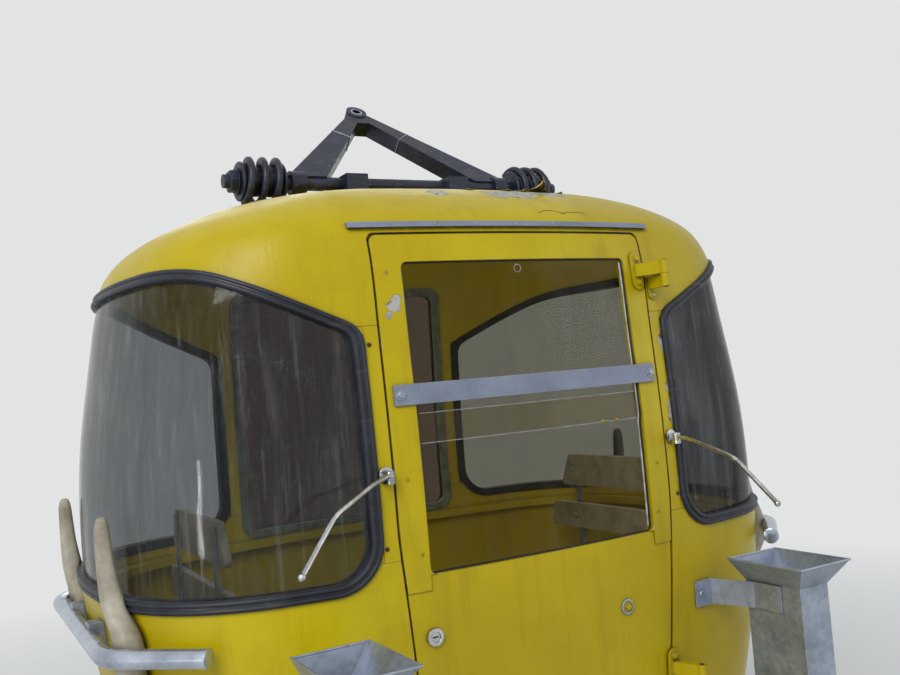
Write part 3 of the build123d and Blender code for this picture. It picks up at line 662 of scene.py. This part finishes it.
def screw(bm, place, normal, radius):
    """Low domed screw head with a shallow socket."""
    dome = (
        (radius, -0.001),
        (radius, radius * 0.2),
        (radius * 0.8, radius * 0.48),
        (radius * 0.42, radius * 0.6),
        (radius * 0.36, radius * 0.25),
        (0, radius * 0.2),
    )
    lathe(bm, dome, place, normal, segments=20)


# End windows: two lips of the rubber all round each, as the photo shows. Each lip: inset and radius
WINDOW_INNER_X = 0.386
WINDOW_LOW = -0.329
WINDOW_TOP = 0.340
SHOULDER = (0.700, 0.190)
WINDOW_RADII = (0.100, 0.055, 0.260)
ROUND_END_FROM = 0.78
ROUND_END_STEPS = 26
LIPS = ((0.0055, 0.0042), (0.0185, 0.0048))


def window_loop(side, rubber, inset):
    """Points and normals along the rubber of an end window, so far in from its outer edge."""
    low = WINDOW_LOW + inset
    top = WINDOW_TOP - inset
    inner = WINDOW_INNER_X + inset
    corners = (
        (ROUND_END_FROM, low),
        (inner, low),
        (inner, SHOULDER[1] - inset / 2),
        (SHOULDER[0], top),
        (ROUND_END_FROM, top),
    )
    radii = (WINDOW_RADII[0] - inset, WINDOW_RADII[1] - inset / 2, WINDOW_RADII[2])
    outline = evenly(rounded(corners, radii))
    flanks = [[on_wall((rubber,), side * x, z, face) for x, z in outline] for face in (-1, 1)]
    near, far = ([found for found in flank if found] for flank in flanks)

    def round_the_end(z, start):
        angle = math.atan2(abs(start.y - CABIN_Y), abs(start.x))
        made = []
        for k in range(1, ROUND_END_STEPS):
            turn = angle * (2 * k / ROUND_END_STEPS - 1)
            outward = Vector((side * math.cos(turn), math.sin(turn), 0))
            found = hit((rubber,), at(0, 0, z) + outward * OUTSIDE, -outward)
            if found:
                made.append(found)
        return made

    over_top = round_the_end(top, near[-1][0])
    under = round_the_end(low, near[0][0])
    return near + over_top + far[::-1] + under[::-1]


def window_ribs():
    """Raised lips of the end windows' rubber."""
    for side, name in SIDES:
        bm = bmesh.new()
        for inset, radius in LIPS:
            bead(bm, window_loop(side, f"window_gasket_{name}", inset), radius, closed=True, flat=0.75)
        piece(f"rubber_lips_{name}", bm, "window_rubber")


# Corners of wall between a post's end, the next panel and the rubber. Each corner: seam level and rise
POST_EDGE = 0.386
POST_LOW, POST_TOP = -0.2765, 0.1925
SEAM_CORNERS = ((0.193, -0.017), (-0.277, 0.030))
CORNER_REACH = 0.013
CORNER_LAP = 0.0006
CORNER_SINK = 0.0004
CORNER_DEPTH = 0.02
CORNER_STEPS = 4
PROBE_NEAR, PROBE_FAR = 0.002, 0.014


def corner_sheet(side, face, seam, rise):
    """Columns of points that carry a post's face on past its edge."""
    start = min(seam, seam + rise)
    columns = []
    for i in range(CORNER_STEPS + 1):
        x = POST_EDGE - CORNER_LAP + CORNER_REACH * i / CORNER_STEPS
        column = []
        for j in range(CORNER_STEPS + 1):
            level = min(max(start + abs(rise) * j / CORNER_STEPS, POST_LOW), POST_TOP)
            near = on_wall(("wall_posts",), side * (POST_EDGE - PROBE_NEAR), level, face)[0]
            far = on_wall(("wall_posts",), side * (POST_EDGE - PROBE_FAR), level, face)[0]
            slope = (near - far) / (PROBE_FAR - PROBE_NEAR)
            spot = near + slope * (x - POST_EDGE + PROBE_NEAR)
            column.append(spot + Vector((0, -face * CORNER_SINK, 0)))
        columns.append(column)
    return columns


def seam_corners():
    """Fills the small wedges of wall beside the posts' ends."""
    bm = bmesh.new()
    for side in (1, -1):
        for face in (-1, 1):
            for seam, rise in SEAM_CORNERS:
                outside = corner_sheet(side, face, seam, rise)
                inwards = Vector((0, -face * CORNER_DEPTH, 0))
                front = [[bm.verts.new(p) for p in column] for column in outside]
                back = [[bm.verts.new(p + inwards) for p in column] for column in outside]
                for sheet in (front, back):
                    for one, two in zip(sheet, sheet[1:]):
                        strip(bm, one, two)
                strip(bm, [c[0] for c in front], [c[0] for c in back])
                strip(bm, [c[-1] for c in front], [c[-1] for c in back])
                strip(bm, front[0], back[0])
                strip(bm, front[-1], back[-1])
    piece("seam_corners", bm, "yellow_paint")


# Door glass: dark bead in the opening, partly sealant and partly painted shade of the gap,
# bright cut edges of the two sheets, a round mark and drops of paint
GLASS_HALF = 0.291
GLASS_LOW = -0.314
GLASS_TOP = 0.321
GLASS_BEAD = 0.0018
BEAD_INSET = 0.0026
BEAD_LIFT = 0.0005
BEAD_CORNER = 0.006
EDGE_INSET = 0.0085
EDGE_ENDS = (0.01, 0.006)
EDGE_LIFT = 0.001
EDGE_BEAD = 0.0016
SHEET_EDGE_RISE = 0.0008
SHEET_EDGE_BEAD = 0.0006
MARK_PLACE = (-0.011, 0.302)
MARK_RADIUS = 0.0085
MARK_LINE = 0.0007
MARK_STEPS = 24
DROPS = ((0.172, 0.0042), (0.184, 0.0030), (0.214, 0.0040))
DROP_RISE = 0.002
PANES = ("door_pane_upper", "door_pane_lower")


def glass_path(points, lift=0.0):
    """Points and normals on the outside of the door's glass."""
    found = [on_wall(PANES, p.x, p.y) for p in evenly([Vector(p) for p in points])]
    return [(place + normal * lift, normal) for place, normal in found]


def door_glass_trim():
    """Dark bead of sealant and painted shade, bright edges, round mark and paint drops of the door glass."""
    w = GLASS_HALF - BEAD_INSET
    low = GLASS_LOW + BEAD_INSET
    top = GLASS_TOP - BEAD_INSET
    corners = ((0, low), (w, low), (w, top), (-w, top), (-w, low), (0, low))
    outline = rounded(corners, (BEAD_CORNER,) * 4)[:-1]
    # Painted shade: black bead round the opening, partly sealant and partly the shadow of the gap along the
    # frame
    bm = bmesh.new()
    bead(bm, glass_path(outline, BEAD_LIFT), GLASS_BEAD, closed=True)
    piece("door_glass_shadow_bead", bm, "window_rubber", "door")

    bm = bmesh.new()
    edge = GLASS_HALF - EDGE_INSET
    upright = ((edge, low + EDGE_ENDS[0]), (edge, top - EDGE_ENDS[1]))
    bead(bm, glass_path(upright, EDGE_LIFT), EDGE_BEAD)
    for level in (UPPER_PANE_FOOT + SHEET_EDGE_RISE, LOWER_PANE_TOP + SHEET_EDGE_RISE):
        bead(bm, glass_path(((-edge, level), (edge, level))), SHEET_EDGE_BEAD)
    piece("glass_edges", bm, "cut_edge", "door")

    bm = bmesh.new()
    centre, normal = on_wall(PANES, *MARK_PLACE)
    ring = []
    for k in range(MARK_STEPS):
        turn = Matrix.Rotation(2 * math.pi * k / MARK_STEPS, 3, "Y")
        ring.append((centre + turn @ Vector((MARK_RADIUS, 0, 0)), normal))
    bead(bm, ring, MARK_LINE, closed=True, segments=6)
    piece("glass_mark", bm, "cut_edge", "door")

    bm = bmesh.new()
    for x, radius in DROPS:
        drop = ((radius, -0.0005), (radius, 0.0004), (0.5 * radius, 0.0012), (0, 0.0014))
        lathe(bm, drop, *on_wall(PANES, x, UPPER_PANE_FOOT + DROP_RISE), segments=12)
    piece("paint_drops", bm, "lifted_paint", "door")


# Hinge pins, bolts and screws. Places are across and up from the belt, the hinge axis is across and along
HINGE_LEVELS = (0.275, -0.652)
HINGE_AXIS = (0.353, -0.600)
PIN_SEARCH = 0.1
PIN_DOME = ((0.0055, -0.002), (0.0055, 0.0006), (0.004, 0.0018), (0, 0.0024))
BAR_BOLTS = ((-0.324, 0.049), (0.326, 0.049))
STRAP_BOLTS = [(0.328, level + rise) for level in HINGE_LEVELS for rise in (0.043, -0.013)]
BRACKET_BOLTS = [(0.371, level - 0.044) for level in HINGE_LEVELS]
DOOR_SCREWS = ((-0.307, -0.271), (0.307, -0.271), (-0.325, 0.30), (-0.325, -0.12), (0.318, -0.16))
COVER_PLACE = (0.192, -0.468)
COVER_RING = ((0.0125, -0.001), (0.0125, 0.002), (0.0145, 0.0028), (0.0168, 0.0016), (0.0172, -0.003))
BOX_SCREWS = [(side * 0.430, level) for side in (1, -1) for level in (-0.485, -0.760)]
RAIL_SCREWS = [(tenths / 10, 0.402) for tenths in range(-3, 4)]
RUSTY_SCREWS = ((-0.376, 0.155), (0.378, -0.24), (-0.379, -0.25))


def hinge_pins():
    """Domed ends of the door's hinge pins."""
    bm = bmesh.new()
    knuckles = ("door_hinge_straps", "hinge_brackets")
    for level in HINGE_LEVELS:
        for up in (1, -1):
            place, _ = hit(knuckles, at(*HINGE_AXIS, level + up * PIN_SEARCH), Vector((0, 0, -up)))
            lathe(bm, PIN_DOME, place, (0, 0, up), segments=20)
    piece("hinge_pins", bm, "rust")


def heads(bm, form, nodes, places, **size):
    """Bolt or screw heads on the outside of some nodes."""
    for x, z in places:
        form(bm, *on_wall(nodes, x, z), **size)


def fasteners():
    """Bolts and screws, one piece for each finish and body."""
    bm = bmesh.new()
    heads(bm, bolt, ("door_bar",), BAR_BOLTS, radius=0.0062, height=0.005)
    piece("bar_bolts", bm, "galvanised", "door")

    bm = bmesh.new()
    heads(bm, bolt, ("door_hinge_straps",), STRAP_BOLTS, radius=0.0058, height=0.005)
    heads(bm, screw, ("door_frame",), DOOR_SCREWS, radius=0.0042)
    heads(bm, bolt, ("door_cover",), (COVER_PLACE,), radius=0.0066, height=0.0055)
    piece("door_screws", bm, "yellow_paint", "door")

    bm = bmesh.new()
    lathe(bm, COVER_RING, *on_wall(("door_cover",), *COVER_PLACE), segments=32)
    piece("cover_ring", bm, "galvanised", "door")

    bm = bmesh.new()
    heads(bm, bolt, ("hinge_brackets",), BRACKET_BOLTS, radius=0.0052, height=0.0045)
    piece("bracket_bolts", bm, "yellow_paint")

    bm = bmesh.new()
    heads(bm, screw, ("ski_box_brackets",), BOX_SCREWS, radius=0.0075)
    heads(bm, screw, ("drip_rail",), RAIL_SCREWS, radius=0.0028)
    piece("zinc_screws", bm, "galvanised")

    bm = bmesh.new()
    heads(bm, screw, ("wall_posts", "lower_shell"), RUSTY_SCREWS, radius=0.0046)
    piece("rusty_screws", bm, "rust")


# Benches: coach bolts through slats and strips
STRIP_Y = (-0.175, 0.175)
BACK_ROWS = (-0.243, -0.383)
BENCH_X = (0.340, 0.435, 0.530)
ABOVE_BENCH = -0.3


def bench_bolts():
    """Round heads on the slats."""
    bm = bmesh.new()
    for side, name in SIDES:
        for y in STRIP_Y:
            for z in BACK_ROWS:
                screw(bm, *hit((f"seat_back_{name}",), at(0, y, z), Vector((side, 0, 0))), radius=0.009)
            for x in BENCH_X:
                start = at(side * x, y, ABOVE_BENCH)
                screw(bm, *hit((f"seat_bench_{name}",), start, Vector((0, 0, -1))), radius=0.008)
    piece("bench_bolts", bm, "galvanised")


# Roof gear
SHAFT_Z = 0.600
COIL_MIDDLE = 0.396
COIL_HALF = 0.056
COIL_RADIUS = 0.054
COIL_WIRE = 0.0088
COIL_TURNS = 2.6
TURN_STEPS = 28
COIL_START = 0.9
COIL_GAP = 0.002
SHAFT_RADIUS = 0.0171
NUT_X = 0.456
NUT_WASHER = ((SHAFT_RADIUS, 0), (0.034, 0), (0.034, 0.003), (SHAFT_RADIUS, 0.003))
NUT = ((SHAFT_RADIUS, 0.003), (0.029, 0.003), (0.029, 0.018), (0.026, 0.021), (SHAFT_RADIUS, 0.021))
SADDLE_BOLTS = [(side * 0.15 + aside, 0.56) for side in (1, -1) for aside in (-0.022, 0.022)]


def torsion_springs():
    """Wound springs on flanged drums in place of the plain coil sets, with nuts on the shaft's ends."""
    for side, name in SIDES:
        bm = bmesh.new()
        start = at(side * (COIL_MIDDLE - COIL_HALF), 0, SHAFT_Z)
        length = 2 * COIL_HALF
        drum = (
            (SHAFT_RADIUS, 0),
            (0.047, 0.0),
            (0.049, 0.002),
            (0.049, 0.006),
            (0.038, 0.009),
            (0.036, length / 2),
            (0.038, length - 0.009),
            (0.049, length - 0.006),
            (0.049, length - 0.002),
            (0.047, length),
            (SHAFT_RADIUS, length),
        )
        lathe(bm, drum, start, (side, 0, 0), segments=40)
        reach = COIL_HALF - COIL_WIRE - COIL_GAP
        path = []
        steps = int(COIL_TURNS * TURN_STEPS)
        for k in range(steps + 1):
            t = k / steps
            turn = 2 * math.pi * COIL_TURNS * t + COIL_START
            outward = Vector((0, math.cos(turn), math.sin(turn)))
            middle = at(side * (COIL_MIDDLE + reach * (2 * t - 1)), 0, SHAFT_Z)
            path.append((middle + outward * COIL_RADIUS, outward))
        bead(bm, path, COIL_WIRE, segments=14)
        spring = piece(f"torsion_spring_{name}", bm, "navy_paint")
        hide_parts(f"coil_set_{name}")

    bm = bmesh.new()
    for side in (1, -1):
        place = at(side * NUT_X, 0, SHAFT_Z)
        lathe(bm, NUT_WASHER, place, (side, 0, 0), segments=32)
        lathe(bm, NUT, place, (side, 0, 0), segments=6)
    heads(bm, bolt, ("shaft_saddles",), SADDLE_BOLTS, radius=0.007)
    piece("shaft_nuts", bm, "navy_paint")


# Hanger yoke: weld seam across each leg, from its outer to its inner edge, and a steel bush in the eye.
# Each edge: distance across, and along the yoke from the shaft
YOKE_LEAN = Vector((0, 0.273, 0.257)).normalized()
LEG_HALF = 0.022
WELD_OUTER = (0.117, 0.257)
WELD_INNER = (0.076, 0.222)
WELD_BEAD = 0.0014
WELD_STEP = 0.006
BUSH_HALF = 0.0255
BUSH_BORE = 0.0118
BUSH_RIM = 0.0165
BUSH_RADIUS = 0.018
BUSH_CHAMFER = 0.0007


def yoke_details():
    """Weld seams on the legs and the bush in the eye."""
    through = Vector((1, 0, 0)).cross(YOKE_LEAN)
    foot = at(0, 0, SHAFT_Z)
    bm = bmesh.new()
    for side in (1, -1):
        corners = []
        for (x, rise), face in ((WELD_OUTER, -1), (WELD_OUTER, 1), (WELD_INNER, 1), (WELD_INNER, -1)):
            corners.append(foot + Vector((side * x, 0, 0)) + YOKE_LEAN * rise + through * (face * LEG_HALF))
        middle = sum(corners, Vector()) / 4
        loop = evenly(corners + corners[:1], WELD_STEP)[:-1]
        bead(bm, [(p, (p - middle).normalized()) for p in loop], WELD_BEAD, closed=True, segments=6)
    piece("yoke_welds", bm, "galvanised", "yoke")

    bm = bmesh.new()
    half_bush = ((BUSH_BORE, BUSH_HALF), (BUSH_RIM, BUSH_HALF), (BUSH_RADIUS, BUSH_HALF - BUSH_CHAMFER))
    bush = [(radius, -height) for radius, height in half_bush] + list(reversed(half_bush))
    lathe(bm, bush, Vector((0, 0, 0)), through, segments=32)
    piece("eye_bush", bm, "galvanised", "yoke")


# Ski boxes: hem round the mouth
BOX_MOUTH_X = (0.456, 0.614)
BOX_MOUTH_Y = (-0.821, -0.603)
BOX_MOUTH_Z = -0.398
HEM_INSET = 0.0018
HEM_DROP = 0.0015
HEM_BEAD = 0.0026


def box_hems():
    """Folded edge round each ski box's mouth."""
    bm = bmesh.new()
    x0, x1 = BOX_MOUTH_X[0] + HEM_INSET, BOX_MOUTH_X[1] - HEM_INSET
    y0, y1 = BOX_MOUTH_Y[0] + HEM_INSET, BOX_MOUTH_Y[1] - HEM_INSET
    corners = ((x0, y0), (x1, y0), (x1, y1), (x0, y1), (x0, y0))
    for side in (1, -1):
        loop = evenly([at(side * x, y, BOX_MOUTH_Z - HEM_DROP) for x, y in corners])[:-1]
        bead(bm, [(p, Vector((0, 0, 1))) for p in loop], HEM_BEAD, closed=True, segments=8)
    piece("box_hems", bm, "galvanised")


# Bumper tubes: outer run, free end, and where the runs bend
TUBE_X = 0.885
TUBE_END = (0.728, 0.488)
TUBE_BEND_Y = 0.338
TUBE_Z = -0.400
TUBE_RADIUS = 0.019
TUBE_PLUG = (
    (TUBE_RADIUS + 0.0007, -0.010),
    (TUBE_RADIUS + 0.0007, 0),
    (TUBE_RADIUS * 0.9, 0.0012),
    (0, 0.0012),
)
WELD_PLACES = (0.072, -0.202, -0.262, 0.262)
WELD_RISE = 0.0014
WELD_RING = ((TUBE_RADIUS - 0.001, -0.003), (TUBE_RADIUS + WELD_RISE, 0), (TUBE_RADIUS - 0.001, 0.003))

# Horns on the ends: level, centre outwards, centre across, size outwards, size across
HORN_SECTIONS = (
    (-0.1405, 0.866, 0.270, 0.003, 0.003),
    (-0.1415, 0.866, 0.270, 0.012, 0.012),
    (-0.146, 0.866, 0.270, 0.020, 0.019),
    (-0.156, 0.866, 0.270, 0.026, 0.025),
    (-0.172, 0.866, 0.270, 0.030, 0.028),
    (-0.245, 0.863, 0.271, 0.036, 0.034),
    (-0.310, 0.855, 0.279, 0.046, 0.050),
    (-0.375, 0.838, 0.303, 0.056, 0.098),
    (-0.440, 0.836, 0.303, 0.058, 0.098),
    (-0.500, 0.820, 0.293, 0.046, 0.064),
    (-0.515, 0.816, 0.290, 0.032, 0.038),
    (-0.520, 0.815, 0.290, 0.006, 0.008),
)
HORN_SQUARENESS = 2.5
HORN_SEAT = 0.0012
HORN_SEARCH = 0.3
TUBE_GAP = 0.0005
HORN_WALLS = [f"{wall}_{name}" for wall in ("window_gasket", "end_window") for _, name in SIDES]
HORN_WALLS.append("lower_shell")
HORN_STEPS = 7
HORN_CORNERS = 36


def smooth_row(values, place):
    """Smooth curve through the rows of a table at a place counted in rows."""
    k = min(int(place), len(values) - 2)
    t = place - k
    before = values[max(k - 1, 0)]
    after = values[min(k + 2, len(values) - 1)]
    rows = zip(before, values[k], values[k + 1], after)
    return [
        0.5 * (2 * b + (c - a) * t + (2 * a - 5 * b + 4 * c - d) * t ** 2 + (3 * b - a - 3 * c + d) * t ** 3)
        for a, b, c, d in rows
    ]


def horn_point(side, face, row, angle):
    """Point on a horn's skin, kept off the wall and the bumper tube."""
    z, x, y, out, across = row
    power = 2 / HORN_SQUARENESS
    c, s = math.cos(angle), math.sin(angle)
    x += 0.5 * out * math.copysign(abs(c) ** power, c)
    y += 0.5 * across * math.copysign(abs(s) ** power, s)
    if z < TUBE_Z + 2 * TUBE_RADIUS:
        x = min(x, TUBE_X - TUBE_RADIUS - TUBE_GAP)
    spot = at(side * x, face * y, z)
    away = Vector((side * HORN_SEARCH, 0, 0))
    wall = hit(HORN_WALLS, spot + away, -away.normalized())
    if wall and (wall[0].x - spot.x) * side > -HORN_SEAT:
        spot.x = wall[0].x + side * HORN_SEAT
    return spot


def horns():
    """Smooth horns with round tips in place of the plain lofts."""
    count = (len(HORN_SECTIONS) - 1) * HORN_STEPS
    turns = [2 * math.pi * k / HORN_CORNERS for k in range(HORN_CORNERS)]
    for side, name in SIDES:
        bm = bmesh.new()
        for face in (-1, 1):
            rings = []
            for k in range(count + 1):
                row = smooth_row(HORN_SECTIONS, k / HORN_STEPS)
                rings.append([bm.verts.new(horn_point(side, face, row, a)) for a in turns])
            for one, two in zip(rings, rings[1:]):
                strip(bm, one, two, closed=True)
            bm.faces.new(rings[0])
            bm.faces.new(rings[-1])
        made = piece(f"horns_{name}", bm, "horn_plastic")
        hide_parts(f"fender_horns_{name}")


def bumper_details():
    """End plugs and weld rings of the bumper tubes."""
    bm = bmesh.new()
    for side in (1, -1):
        for face in (1, -1):
            end = at(side * TUBE_END[0], face * TUBE_END[1], TUBE_Z)
            bend = at(side * TUBE_X, face * TUBE_BEND_Y, TUBE_Z)
            lathe(bm, TUBE_PLUG, end, end - bend, segments=36)
        for y in WELD_PLACES:
            lathe(bm, WELD_RING, at(side * (TUBE_X - WELD_RISE), y, TUBE_Z), (0, 1, 0), segments=36)
    piece("tube_plugs", bm, "tube_zinc")


# Paint lifted off the roof's edge: across, along, width, length, lift and turn of each flake
FLAKES = (
    (0.184, -0.335, 0.052, 0.060, 0.034, 0.2),
    (0.215, -0.343, 0.030, 0.022, 0.010, -0.3),
    (0.140, -0.345, 0.040, 0.026, 0.006, 0.4),
    (0.100, -0.352, 0.034, 0.018, 0.004, -0.2),
    (0.262, -0.338, 0.022, 0.016, 0.005, 0.3),
    (-0.010, -0.356, 0.030, 0.014, 0.003, 0.1),
)
FLAKE_STEPS = 8
FLAKE_GAP = 0.0007
FLAKE_WAVES = 0.0012
FLAKE_THICKNESS = 0.0009
# Raised cracks: start across, length, rise and bend
CRACKS = ((0.085, 0.075, 0.010, 2.9), (0.150, 0.075, 0.007, 2.2))
CRACK_LEVEL = 0.432
CRACK_STEPS = 46
CRACK_FALL = 0.004
CRACK_BEAD = 0.0008


def roof_flakes():
    """Curled flakes of paint and raised cracks above the rail."""
    chance = random.Random(SEED)
    bm = bmesh.new()
    for x, y, width, length, lift, turn in FLAKES:
        rows = []
        spin = Matrix.Rotation(turn, 3, "Z")
        for i in range(FLAKE_STEPS + 1):
            t = i / FLAKE_STEPS
            half = 0.5 * width * (1 - t ** 1.6) + 0.1 * width * chance.uniform(0.2, 1.0)
            row = []
            for j in range(FLAKE_STEPS + 1):
                s = 2 * j / FLAKE_STEPS - 1
                flat = spin @ Vector((s * half, -length * (t - 0.25 * t * t), 0))
                start = at(x + flat.x, y + flat.y, OUTSIDE)
                place, _ = hit(("roof_shell",), start, Vector((0, 0, -1)))
                curl = lift * t ** 1.4 * (1 - 0.3 * s * s) + FLAKE_WAVES * chance.uniform(-1, 1) * t
                row.append(bm.verts.new(place + Vector((0, 0, FLAKE_GAP + curl))))
            rows.append(row)
        for one, two in zip(rows, rows[1:]):
            strip(bm, one, two)
    flakes = piece("paint_flakes", bm, "lifted_paint")
    thick = flakes.modifiers.new("thick", "SOLIDIFY")
    thick.thickness = FLAKE_THICKNESS

    bm = bmesh.new()
    for first, length, rise, wave in CRACKS:
        crack = []
        for k in range(CRACK_STEPS + 1):
            t = k / CRACK_STEPS
            z = CRACK_LEVEL + rise * math.sin(wave * t) - CRACK_FALL * t
            crack.append(on_wall(("roof_shell",), first + length * t, z))
        bead(bm, crack, CRACK_BEAD, segments=6)
    piece("paint_crack", bm, "rust")


# Studio: a pale floor that fades into a pale background
FLOOR_GAP = 0.002
FLOOR_HALF = 40
FLOOR_FADE = (2.3, 4.4)
BACKDROP = rgb(226, 228, 228)
DAYLIGHT = rgb(224, 230, 236)
DAYLIGHT_STRENGTH = 0.55
# Lamps round a point in the cabin: place from it, size and power
LAMP_AIM = at(0, 0, -0.2)
LAMPS = (
    ("key_lamp", (-3.4, -3.4, 3.2), (2.6, 2.6), 165),
    ("fill_lamp", (3.6, -3.4, 1.2), (2.4, 2.4), 18),
    ("back_lamp", (1.5, 4.5, 2.6), (3.0, 3.0), 50),
    ("glint_lamp", (-4.2, -2.2, -0.1), (0.16, 1.1), 12),
)


def pale_world():
    """Even daylight on the object, and a plain pale background behind it."""
    world = bpy.data.worlds.new("studio_world")
    world.use_nodes = True
    tree = world.node_tree
    light = tree.nodes["Background"]
    light.inputs["Color"].default_value = DAYLIGHT
    light.inputs["Strength"].default_value = DAYLIGHT_STRENGTH
    shown = tree.nodes.new("ShaderNodeBackground")
    shown.inputs["Color"].default_value = BACKDROP
    path = tree.nodes.new("ShaderNodeLightPath")
    seen = path.outputs["Is Camera Ray"]
    for ray in ("Is Glossy Ray", "Is Transmission Ray"):
        either = tree.nodes.new("ShaderNodeMath")
        either.operation = "MAXIMUM"
        tree.links.new(seen, either.inputs[0])
        tree.links.new(path.outputs[ray], either.inputs[1])
        seen = either.outputs[0]
    mix = tree.nodes.new("ShaderNodeMixShader")
    tree.links.new(seen, mix.inputs[0])
    tree.links.new(light.outputs[0], mix.inputs[1])
    tree.links.new(shown.outputs[0], mix.inputs[2])
    tree.links.new(mix.outputs[0], tree.nodes["World Output"].inputs[0])
    bpy.context.scene.world = world


def studio():
    """Plain pale floor, soft lamps and the world."""
    bm = bmesh.new()
    bmesh.ops.create_grid(bm, x_segments=1, y_segments=1, size=FLOOR_HALF)
    bmesh.ops.translate(bm, vec=(0, 0, SOLE_Z - FLOOR_GAP), verts=bm.verts)
    net = Net("studio_floor")
    away = net.node("ShaderNodeVectorMath", {"operation": "LENGTH"})
    net.feed(away.inputs[0], net.place)
    fade = net.span(away.outputs["Value"], *FLOOR_FADE, 1.0, 0.0)
    net.set(Base_Color=rgb(228, 228, 226), Roughness=0.9, Specular_IOR_Level=0.1, Alpha=fade)
    floor = mesh_object("studio_floor", bm, net.material, smooth=False)
    pale_world()
    for name, place, size, power in LAMPS:
        data = bpy.data.lights.new(name, "AREA")
        data.shape = "RECTANGLE"
        data.size, data.size_y = size
        data.energy = power
        lamp = bpy.data.objects.new(name, data)
        lamp.location = LAMP_AIM + Vector(place)
        lamp.rotation_euler = (-Vector(place)).to_track_quat("-Z", "Y").to_euler()
        bpy.context.collection.objects.link(lamp)
    bpy.context.scene.view_settings.view_transform = "Standard"


photo_camera()
window_ribs()
seam_corners()
door_glass_trim()
hinge_pins()
fasteners()
bench_bolts()
torsion_springs()
yoke_details()
box_hems()
horns()
bumper_details()
roof_flakes()
studio()
